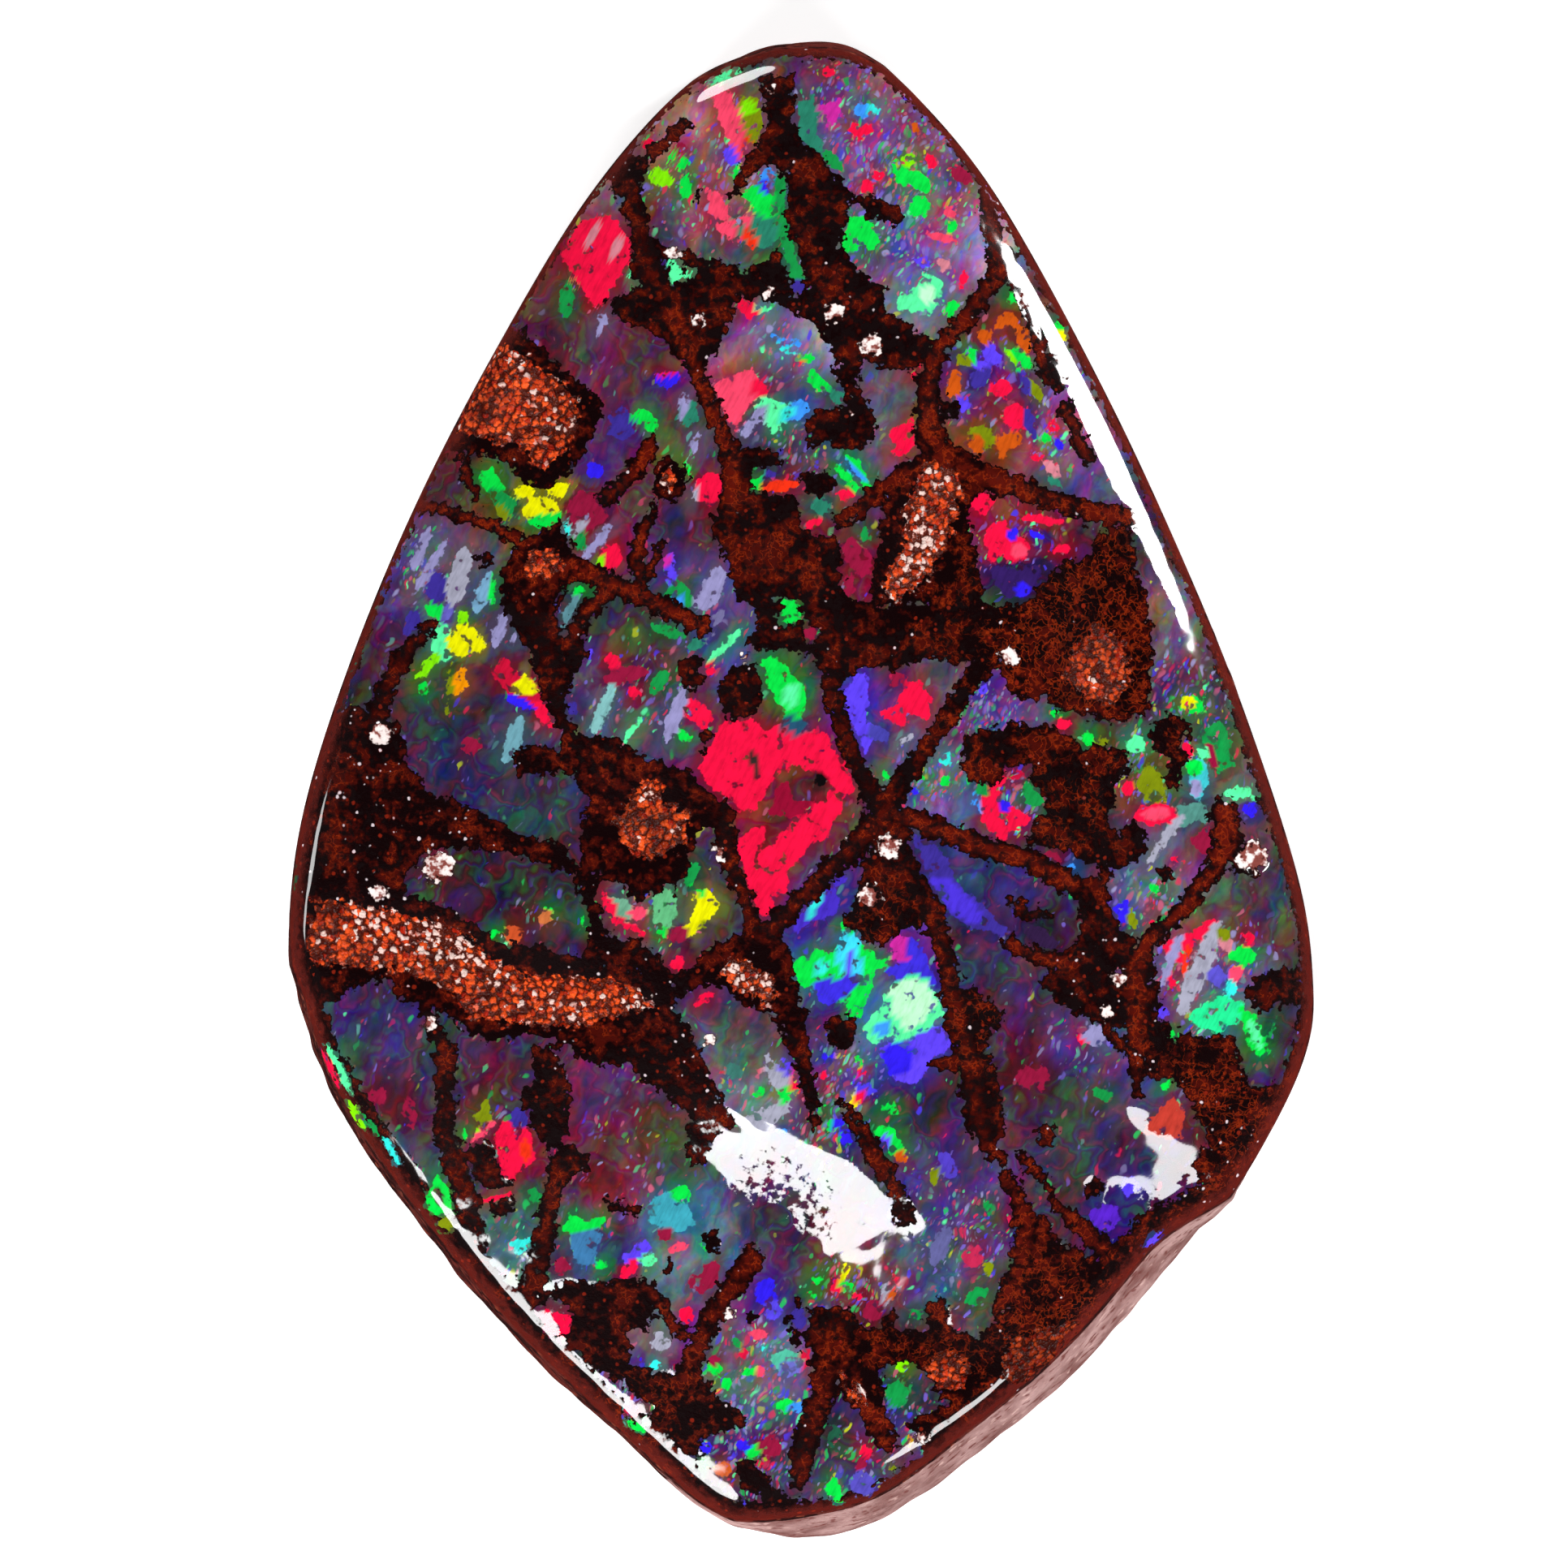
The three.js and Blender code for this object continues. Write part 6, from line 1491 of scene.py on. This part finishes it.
def face_of(shape):
    """The face from a square grid: square to disc to outline, then raised. Gives its fields too."""
    bmesh.ops.create_grid(shape, x_segments=FACE_ACROSS, y_segments=FACE_ALONG, size=1.0)
    verts = list(shape.verts)
    square = np.clip(np.array([v.co[:2] for v in verts]), -1, 1)
    u, v = square[:, 0], square[:, 1]
    disc_x, disc_y = u * np.sqrt(1 - v * v / 2), v * np.sqrt(1 - u * u / 2)
    turned = np.arctan2(disc_y, disc_x) + GRID_TURN
    angle = np.arctan2(np.sin(turned), np.cos(turned))
    ring = np.minimum(np.hypot(disc_x, disc_y), 1)
    ring = ring * (1 + EDGE_CROWDING * (1 - ring))
    x, y = from_middle(angle, ring * rim_reach(angle))
    inward = rim_distance(x, y) * (ring < 1 - 1e-6)
    z = face_height(x, y, ring, angle, inward)
    fields = face_fields(x, y, z, inward, angle)
    places = np.stack([x, y, z], axis=1)
    in_stone = smooth(fields["ironstone"], -0.03, 0.06)
    in_sand = smooth(fields["sandy"], -0.05, 0.12)
    in_pit = smooth(fields["pit"], -0.04, 0.1)
    crinkled = spots(*to_photo(x, y, z), CRINKLED_PLACES)
    relief = -STONE_DEPTH * in_stone - NODULE_DEPTH * in_pit - SAND_DEPTH * in_sand
    relief += (POLISH_RIPPLE + STONE_RIPPLE * in_stone) * lumps(places, *POLISH_LUMPS)
    relief += SAND_RIPPLE * in_sand * lumps(places, *SAND_LUMPS)
    relief += CRINKLE * crinkled * lumps(places, *CRINKLE_LUMPS)
    places[:, 2] += relief * smooth(inward, 0, FACE_CALM)
    put(verts, places)
    return verts, fields


def stone_shape():
    """The whole stone as one closed skin, with the fields of its pattern at every vertex."""
    shape = bmesh.new()
    verts, fields = face_of(shape)
    rim = [e for e in shape.edges if e.is_boundary]
    wall_depths, wall_flanks = [], []
    for row in range(1, WALL_ROWS + 1):
        made = bmesh.ops.extrude_edge_only(shape, edges=rim)["geom"]
        rim = [g for g in made if isinstance(g, bmesh.types.BMEdge) and g.is_boundary]
        row_verts = [g for g in made if isinstance(g, bmesh.types.BMVert)]
        angle = np.array([math.atan2(v.co.y - MIDDLE[1], v.co.x - MIDDLE[0]) for v in row_verts])
        height = WALL_HEIGHT * (1 - row / WALL_ROWS)
        put(row_verts, wall_places(angle, height))
        wall_depths += [height - WALL_HEIGHT] * len(row_verts)
        wall_flanks += list(pink_flank(angle))
    back = bmesh.ops.edgeloop_fill(shape, edges=rim)["faces"]
    bmesh.ops.recalc_face_normals(shape, faces=shape.faces)
    for face in shape.faces:
        face.smooth = True
    for face in back:
        face.smooth = False
    for edge in rim:
        edge.smooth = False
    on_wall = {"inward": np.array(wall_depths), "pink_flank": np.array(wall_flanks)}
    for name, field in fields.items():
        none = np.zeros((len(wall_depths),) + field.shape[1:])
        fields[name] = np.concatenate([field, on_wall.get(name, none)])
    return shape, fields


def fit_to_frame(shape):
    """Centres the stone over the origin and keeps it inside the frame's box. Gives the move."""
    places = np.array([v.co[:] for v in shape.verts])
    low, high = places.min(axis=0), places.max(axis=0)
    frame_size = np.array(cad_box[1] - cad_box[0]) / MM
    scale = min(1.0, KEPT_INSIDE * (frame_size / (high - low)).min())
    move = np.array([(low[0] + high[0]) / 2, (low[1] + high[1]) / 2, 0.0])
    put(shape.verts, (places - move) * scale * MM)
    return move


def make_stone():
    """The stone's piece, and the move that centred it."""
    shape, fields = stone_shape()
    move = fit_to_frame(shape)
    mesh = bpy.data.meshes.new("boulder_opal_stone")
    shape.to_mesh(mesh)
    shape.free()
    for name, field in fields.items():
        if field.ndim == 1:
            mesh.attributes.new(name, "FLOAT", "POINT").data.foreach_set("value", field)
        else:
            opaque = np.concatenate([field, np.ones((len(field), 1))], axis=1)
            mesh.attributes.new(name, "FLOAT_COLOR", "POINT").data.foreach_set("color", opaque.ravel())
    stone = bpy.data.objects.new("boulder_opal_stone", mesh)
    bpy.context.scene.collection.objects.link(stone)
    return stone, move


# Shader values
class Value:
    """A value on the surface. An expression on values adds its Math nodes."""

    def __init__(self, surface, socket):
        self.surface = surface
        self.socket = socket

    def __add__(self, other):
        return self.surface.maths("ADD", self, other)

    def __sub__(self, other):
        return self.surface.maths("SUBTRACT", self, other)

    def __rsub__(self, other):
        return self.surface.maths("SUBTRACT", other, self)

    def __mul__(self, other):
        return self.surface.maths("MULTIPLY", self, other)

    def __truediv__(self, other):
        return self.surface.maths("DIVIDE", self, other)

    __radd__ = __add__
    __rmul__ = __mul__


class Surface:
    """One material, built node by node."""

    def __init__(self, name):
        self.material = bpy.data.materials.new(name)
        self.material.use_nodes = True
        self.tree = self.material.node_tree
        self.tree.nodes.clear()
        place = self.node("ShaderNodeTexCoord")
        self.place = self.vector("MULTIPLY", Value(self, place.outputs["Object"]), (1 / MM, 1 / MM, 1 / MM))

    def node(self, kind, settings=None, sockets=None):
        """Any node: its settings first, then the values or links of its sockets."""
        made = self.tree.nodes.new(kind)
        for name, setting in (settings or {}).items():
            if name == "between":
                made.color_ramp.interpolation = setting
            elif name == "stops":
                ramp = made.color_ramp
                while len(ramp.elements) < len(setting):
                    ramp.elements.new(0.5)
                for element, (position, colour) in zip(ramp.elements, setting):
                    element.position = position
                    element.color = (*linear(colour), 1)
            else:
                setattr(made, name, setting)
        for key, given in (sockets or {}).items():
            if isinstance(given, Value):
                self.tree.links.new(given.socket, made.inputs[key])
            else:
                made.inputs[key].default_value = given
        return made

    def value(self, kind, output, settings=None, sockets=None):
        return Value(self, self.node(kind, settings, sockets).outputs[output])

    def maths(self, operation, first, second=0.0):
        return self.value("ShaderNodeMath", 0, {"operation": operation}, {0: first, 1: second})

    def vector(self, operation, first, second):
        return self.value("ShaderNodeVectorMath", 0, {"operation": operation}, {0: first, 1: second})

    def field(self, name, output="Fac"):
        return self.value("ShaderNodeAttribute", output, {"attribute_name": name})

    def step(self, value, low, high):
        """0 below low and 1 above high, with no corner between them."""
        sockets = {"Value": value, "From Min": low, "From Max": high, "To Min": 0.0, "To Max": 1.0}
        return self.value("ShaderNodeMapRange", 0, {"interpolation_type": "SMOOTHSTEP"}, sockets)

    def mix(self, share, first, second):
        sockets = {0: share, 6: self.colour(first), 7: self.colour(second)}
        return self.value("ShaderNodeMix", 2, {"data_type": "RGBA"}, sockets)

    def colour(self, given):
        return given if isinstance(given, Value) else (*linear(given), 1)

    def shade(self, colour, factor):
        """A colour made lighter or darker by a value."""
        return self.value("ShaderNodeVectorMath", 0, {"operation": "SCALE"}, {0: colour, 3: factor})

    def grain(self, per_mm, detail, roughness, at=None, output="Fac"):
        """Cloudy noise of 0 to 1, or three such noises as a vector."""
        sockets = {"Vector": at or self.place, "Scale": per_mm, "Detail": detail, "Roughness": roughness}
        return self.value("ShaderNodeTexNoise", output, None, sockets)

    def wandering(self, per_mm, reach):
        """The place, pushed about by up to half the reach in millimetres."""
        push = self.vector("SUBTRACT", self.grain(per_mm, 2.0, 0.5, None, "Color"), (0.5, 0.5, 0.5))
        return self.vector("ADD", self.place, self.vector("MULTIPLY", push, (reach, reach, reach)))

    def play(self, at, per_mm, contrast, darkest):
        """Clouds that strengthen and weaken red, green and blue each on its own."""
        clouds = self.vector("SUBTRACT", self.grain(per_mm, 3.0, 0.58, at, "Color"), (0.5, 0.5, 0.5))
        clouds = self.vector("MULTIPLY", clouds, (contrast, contrast, contrast))
        return self.vector("MAXIMUM", self.vector("ADD", clouds, (1, 1, 1)), (darkest, darkest, darkest))

    def chips(self, per_mm, at=None):
        """Random chips: the distance to a chip's middle, and three random values per chip."""
        node = self.node("ShaderNodeTexVoronoi", None, {"Vector": at or self.place, "Scale": per_mm})
        parts = self.node("ShaderNodeSeparateColor", None, {0: Value(self, node.outputs["Color"])})
        return [Value(self, node.outputs["Distance"])] + [Value(self, parts.outputs[i]) for i in range(3)]

    def ramp(self, value, stops, between="CONSTANT"):
        return self.value("ShaderNodeValToRGB", "Color", {"stops": stops, "between": between}, {0: value})

    def turned(self, degrees, stretch, at=None):
        """The place turned about the upright and stretched, for streaks."""
        sockets = {"Vector": at or self.place, "Rotation": (0, 0, math.radians(degrees)), "Scale": stretch}
        return self.value("ShaderNodeMapping", 0, {"vector_type": "TEXTURE"}, sockets)

    def blend(self, share, first, second):
        """Two finished shaders, the second over the first."""
        return self.value("ShaderNodeMixShader", 0, None, {0: share, 1: first, 2: second})


# The stone's finish: colours of 0 to 255. First the opal's clouds and its mosaic's chips.
PLAY = [
    (0.0, INDIGO),
    (0.16, (36, 34, 52)),
    (0.34, WINE),
    (0.46, (46, 30, 44)),
    (0.6, TEAL),
    (0.7, INDIGO),
    (0.82, (62, 40, 56)),
    (0.92, LEAF),
]
BRIGHTS = [
    (0.0, (225, 30, 80)),
    (0.1, (120, 100, 205)),
    (0.24, (30, 190, 90)),
    (0.34, (205, 95, 125)),
    (0.44, (90, 160, 150)),
    (0.53, (70, 55, 220)),
    (0.62, LILAC),
    (0.72, (170, 60, 90)),
    (0.8, LEAF),
    (0.87, MINT),
    (0.92, (120, 90, 60)),
    (0.96, (190, 200, 30)),
]
STREAK_TURN = 64  # degrees: the opal's layers catch the light in streaks along this direction
BODY_CAST = (0.98, 0.7, 0.78)  # the red, green and blue that the opal's body keeps
CHIP_KINDS = ((4.6, 0.95, 0.9), (9.0, 0.8, 0.8))  # chips to a millimetre, how common, how strong

# The ironstone, its rusty loops by size and strength, the nodules and the sandy patches
STONE_EDGE = (14, 3, 4)
STONE_BLACK = (14, 2, 3)
STONE_BROWN = (66, 10, 5)
VEIN_RED = (92, 17, 7)
RIM_MAROON = (108, 28, 20)
LOOP_RUST = (142, 42, 9)
LOOP_KINDS = ((5.5, 0.65), (3.0, 0.4))
GRAIN_RUST = (140, 34, 14)
# painted highlight: white glints of light on the ironstone's grains
PAINTED_GLINT_WHITE = (226, 208, 214)
NODULE_DULL = (150, 76, 68)
# pale nodule colour, partly painted glints of light on the nodules
NODULE_PALE_GLINT = (242, 226, 222)
NODULE_RING = (34, 8, 7)
SAND_DEEP = (160, 28, 8)
SAND_BRIGHT = (255, 92, 34)
# painted shade: dark in the gaps between the sandy grains
SAND_GAP_SHADE = (40, 9, 6)
# pale grains, partly painted glints of light
SAND_PALE_AND_GLINT = (244, 216, 206)

# The ground wall and back
PINK_DIM = (124, 80, 76)
PINK_LIGHT = (184, 146, 142)
PINK_FLECK = (104, 40, 34)
PINK_GRAIN = (214, 176, 168)
PINK_PIT = (104, 40, 36)
WALL_DARK = (38, 7, 7)
WALL_BROWN = (96, 28, 20)
WALL_FLECK = (22, 4, 4)
WALL_GRAIN = (142, 60, 36)

# The polish is a clear coat
POLISH_ROUGHNESS = 0.05
POLISH_IOR = 1.75


def opal_colour(s):
    """The opal's own body: cloudy tints of play in streaks, and soft chips where it is a mosaic."""
    warped = s.wandering(2.4, 0.32)
    along = s.turned(STREAK_TURN, (1.0, 0.45, 1.0), warped)
    clouds = s.ramp(s.step(s.grain(1.3, 2.0, 0.5, warped), 0.3, 0.7), PLAY, "LINEAR")
    body = s.mix(0.2, s.field("tint", "Color"), clouds)
    body = s.vector("MULTIPLY", body, BODY_CAST)
    body = s.vector("MULTIPLY", body, s.play(along, 0.9, 3.6, 0.2))
    body = s.vector("MULTIPLY", body, s.play(along, 2.8, 1.9, 0.35))
    haze = s.step(s.field("flash"), -0.35, 0.0)
    body = s.mix(0.5 * haze, body, s.shade(s.field("flash_colour", "Color"), 0.22))
    density = s.field("mosaic")
    for per_mm, share, strength in CHIP_KINDS:
        away, pick, hue, light = s.chips(per_mm, along)
        soft = s.step(density * share - pick, -0.03, 0.03) * (1 - s.step(away, 0.3, 0.62))
        body = s.mix(soft * strength * (0.35 + 0.65 * light), body, s.ramp(hue, BRIGHTS))
    return body


def flash_parts(s, ragged, streaks):
    """Where the flashes are, and their colour with faint parallel streaks and brighter and darker parts."""
    cloud = s.grain(4.5, 2.0, 0.5)
    worn = 1 - s.step(cloud, 0.6, 0.67)
    share = s.step(s.field("flash") + 0.08 * (streaks - 0.5) + 0.26 * ragged, -0.012, 0.026) * worn
    light = 0.52 + 0.2 * s.step(streaks, 0.3, 0.6) + 0.5 * (1 - cloud)
    return share, s.shade(s.field("flash_colour", "Color"), light)


def ironstone_colour(s, depth, ragged, sparkle):
    """Near black at its edges, red brown inside and along the rim, with rusty loops, grains and white dots
    of painted glints of light.
    """
    cloud = s.grain(1.7, 3.0, 0.62)
    inside = s.step(depth, 0.02, 0.1)
    core = s.field("vein_core") * s.step(0.5 * cloud + ragged, 0.02, 0.36)
    brown = s.mix(s.step(cloud + 0.7 * ragged, 0.45, 0.67), STONE_BLACK, STONE_BROWN)
    brown = s.mix(core, brown, VEIN_RED)
    rusty = s.step(cloud + 0.4 * ragged + 0.3 * core + 0.25 * s.field("lined"), 0.5, 0.72)
    for per_mm, strength in LOOP_KINDS:
        loop = 1 - s.step(s.maths("ABSOLUTE", s.grain(per_mm, 2.0, 0.55) - 0.5), 0.003, 0.034)
        brown = s.mix(strength * loop * rusty, brown, LOOP_RUST)
    brown = s.mix(inside, STONE_EDGE, brown)
    rim = 1 - s.step(s.field("inward") + 0.5 * ragged, 0.08, 0.32)
    brown = s.mix(0.65 * rim, brown, RIM_MAROON)
    away, pick, light, _ = s.chips(8.0)
    spot = (1 - s.step(away + 0.8 * ragged, 0.15, 0.35)) * inside
    brown = s.mix(0.7 * spot * s.step(pick, 0.82, 0.88), brown, GRAIN_RUST)
    # painted highlights: white glint dots, more of them where the glint places say
    shown = s.step(light + 0.4 * sparkle, 0.98, 0.99) * (1 - s.step(away + 0.9 * ragged, 0.08, 0.26))
    return s.mix(0.9 * shown, brown, PAINTED_GLINT_WHITE)


def sandy_colour(s, ragged):
    """Sandy ironstone: close rusty grains, darker towards their edges as painted shade in the gaps, some of
    the grains pale, partly as painted glints of light.
    """
    away, pick, light, _ = s.chips(8.5, s.wandering(9.0, 0.16))
    rust = s.mix(light, SAND_DEEP, SAND_BRIGHT)
    darker = s.maths("MINIMUM", s.field("sandy_pale"), 0.0)
    rust = s.shade(rust, (0.2 + 1.6 * s.grain(1.4, 2.0, 0.5)) * (1 + darker))
    # darker towards each grain's edge: painted shade in the gaps between grains
    rust = s.mix(0.92 * s.step(away + 0.4 * ragged, 0.3, 0.64), rust, SAND_GAP_SHADE)
    # pale grains, partly painted glints of light
    pale = s.step(0.85 * s.field("sandy_pale") - pick, -0.04, 0.04)
    grain = 1 - s.step(away + 0.5 * ragged, 0.36, 0.62)
    return s.mix(pale * grain * 0.95, rust, SAND_PALE_AND_GLINT), away


def ground_colour(s):
    """The ground wall and back: dark brown, and dull pink with darker flecks on the lower right flank."""
    cloud = s.grain(0.9, 3.0, 0.6)
    flecks = s.grain(2.6, 3.0, 0.65, s.turned(0, (1.0, 1.0, 0.42)))
    spotted = s.step(flecks, 0.56, 0.68)
    away, pick, light, _ = s.chips(5.0, s.wandering(4.0, 0.3))
    pink = s.mix(s.step(cloud, 0.3, 0.7), PINK_DIM, PINK_LIGHT)
    pink = s.mix(0.85 * spotted, pink, PINK_FLECK)
    dark = s.mix(s.step(cloud + 0.3 * (light - 0.5), 0.36, 0.64), WALL_DARK, WALL_BROWN)
    dark = s.mix(0.7 * spotted, dark, WALL_FLECK)
    grain = 1 - s.step(away, 0.2, 0.5)
    dark = s.mix(0.75 * grain * s.step(pick, 0.8, 0.86), dark, WALL_GRAIN)
    pink = s.mix(0.6 * grain * s.step(pick, 0.84, 0.9), pink, PINK_GRAIN)
    pits = grain * (1 - s.step(pick, 0.24, 0.3))
    pink = s.mix(0.75 * pits, pink, PINK_PIT)
    share = s.field("pink_flank") + 1.1 * (cloud - 0.5) + 0.5 * (flecks - 0.5)
    stone = s.mix(s.step(share, 0.42, 0.5), dark, pink)
    dust = s.grain(14.0, 2.0, 0.7)
    return s.shade(stone, 0.72 + 0.5 * dust), dust


def raised(s, height):
    """Fine relief, its height in millimetres."""
    return s.value("ShaderNodeBump", 0, None, {"Strength": 1.0, "Distance": MM, "Height": height})


def skin(s, colour, roughness, shine, coat=0.0, relief=None):
    """One finished shader, with a polish of that strength and fine relief in millimetres."""
    sockets = {
        "Base Color": colour,
        "Roughness": roughness,
        "Specular IOR Level": shine,
        "Coat Weight": coat,
        "Coat Roughness": POLISH_ROUGHNESS,
        "Coat IOR": POLISH_IOR,
    }
    if relief:
        sockets["Normal"] = raised(s, relief)
    return s.value("ShaderNodeBsdfPrincipled", 0, None, sockets)


def stone_finish():
    s = Surface("ironstone_and_opal")
    ragged = s.grain(6.0, 2.4, 0.55) - 0.5
    streaks = s.grain(3.0, 2.0, 0.6, s.turned(STREAK_TURN, (1.0, 0.22, 1.0)))
    depth = s.field("ironstone") + 0.5 * ragged
    on_stone = s.step(depth, -0.006, 0.014)
    on_sand = s.step(s.field("sandy") + 0.6 * ragged, -0.01, 0.04)
    pit_depth = s.field("pit") + 0.5 * ragged
    on_pit = s.step(pit_depth, -0.01, 0.02)
    on_wall = 1 - s.step(s.field("inward") + 0.1 * ragged, 0.01, 0.05)
    polished = s.step(s.field("inward") + 0.2 * ragged, 0.07, 0.13)
    blotch = s.grain(6.0, 2.0, 0.6)
    speckle = blotch + s.field("dulled")

    on_flash, flash = flash_parts(s, ragged, streaks)
    gloss = polished * (1 - s.step(speckle, 0.84, 0.96))
    opal = skin(s, s.mix(on_flash, opal_colour(s), flash), 0.5, 0.0, gloss)

    stone_colour = ironstone_colour(s, depth, ragged, s.field("sparkle"))
    # pale nodules mottled with white, partly painted glints of light
    nodule = s.mix(s.step(blotch, 0.44, 0.58), NODULE_DULL, NODULE_PALE_GLINT)
    nodule = s.mix(s.step(pit_depth, 0.01, 0.06), NODULE_RING, nodule)
    stone_colour = s.mix(on_pit, stone_colour, s.shade(nodule, 0.9 + 1.4 * ragged))
    gloss = 0.9 * (1 - s.step(speckle, 0.42, 0.6)) * (1 - on_pit) * polished
    ironstone = skin(s, stone_colour, 0.5, 0.02, gloss, 0.022 * s.grain(9.0, 3.0, 0.75))

    sand_colour, away = sandy_colour(s, ragged)
    sand = skin(s, sand_colour, 0.2, 0.14, 0.0, -0.09 * away)

    ground, dust = ground_colour(s)
    wall = skin(s, ground, 0.75, 0.06, 0.0, 0.06 * s.grain(3.5, 3.0, 0.6) + 0.016 * dust)

    covered = s.maths("MAXIMUM", on_stone, on_pit)
    face = s.blend(on_sand, s.blend(covered, opal, ironstone), sand)
    s.node("ShaderNodeOutputMaterial", None, {"Surface": s.blend(on_wall, face, wall)})
    return s.material


# The stage
FLOOR_GLOW = 0.5  # a light table, so that the shadows stay soft
FLOOR_HALF = 2.0  # in metres
FLOOR_BELOW = 0.02  # in millimetres, below the back
ROOM_LIGHT = 0.03
LIGHT_AWAY = 0.22  # in metres
FULL_LIGHT = 1.12  # a white floor comes out just white

# Soft boxes: degrees round from the right, degrees down from straight above, how many degrees tall
# and broad, share of the light
SOFT_BOXES = {
    "right": (28, 72, 30, 11, 0.24),
    "left": (-122, 48, 34, 32, 0.62),
    "corner": (-48, 48, 22, 18, 0.18),
    "top": (112, 70, 22, 22, 0.1),
    "far left": (174, 66, 14, 14, 0.04),
}


def floor_finish():
    s = Surface("plain_floor")
    sockets = {"Base Color": (0.93, 0.93, 0.93, 1), "Roughness": 0.9, "Specular IOR Level": 0.0}
    sockets.update({"Emission Color": (1, 1, 1, 1), "Emission Strength": FLOOR_GLOW})
    shader = s.node("ShaderNodeBsdfPrincipled", None, sockets)
    s.node("ShaderNodeOutputMaterial", None, {"Surface": Value(s, shader.outputs[0])})
    return s.material


def make_floor():
    shape = bmesh.new()
    bmesh.ops.create_grid(shape, x_segments=1, y_segments=1, size=FLOOR_HALF)
    mesh = bpy.data.meshes.new("floor")
    shape.to_mesh(mesh)
    shape.free()
    floor = bpy.data.objects.new("floor", mesh)
    floor.location.z = -FLOOR_BELOW * MM
    floor.visible_glossy = False  # the polished stone mirrors the dim room, as in the photo
    bpy.context.scene.collection.objects.link(floor)
    mesh.materials.append(floor_finish())


def make_lights():
    for name, (around, down, tall, broad, share) in SOFT_BOXES.items():
        lamp = bpy.data.lights.new(name, "AREA")
        lamp.shape = "ELLIPSE"
        lamp.size = 2 * LIGHT_AWAY * math.tan(math.radians(tall) / 2)
        lamp.size_y = 2 * LIGHT_AWAY * math.tan(math.radians(broad) / 2)
        lamp.energy = FULL_LIGHT * share * math.pi**2 * LIGHT_AWAY**2 / math.cos(math.radians(down))
        away = Vector((0, 0, LIGHT_AWAY))
        box = bpy.data.objects.new(name, lamp)
        box.rotation_euler = (0, math.radians(down), math.radians(around))
        away.rotate(box.rotation_euler)
        box.location = away
        bpy.context.scene.collection.objects.link(box)
    world = bpy.data.worlds.new("dim room")
    bpy.context.scene.world = world
    world.use_nodes = True
    background = world.node_tree.nodes["Background"]
    background.inputs["Color"].default_value = (1, 1, 1, 1)
    background.inputs["Strength"].default_value = ROOM_LIGHT


def make_camera(move):
    """Straight above, so that the rim's level fills the picture as in the photograph."""
    lens = bpy.data.cameras.new("camera")
    lens.sensor_width = 36
    lens.lens = lens.sensor_width * (CAMERA_HEIGHT - WALL_HEIGHT) / (PHOTO_SIDE * MM_PER_PIXEL)
    lens.clip_start = 0.01
    lens.clip_end = 10
    camera = bpy.data.objects.new("camera", lens)
    camera.location = Vector((CAMERA_OVER[0] - move[0], CAMERA_OVER[1] - move[1], CAMERA_HEIGHT)) * MM
    bpy.context.scene.collection.objects.link(camera)
    bpy.context.scene.camera = camera


stone, centre_move = make_stone()
stone.data.materials.append(stone_finish())
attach(stone, "root")
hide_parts("boulder_opal")

make_floor()
make_lights()
make_camera(centre_move)
bpy.context.scene.view_settings.view_transform = "Standard"
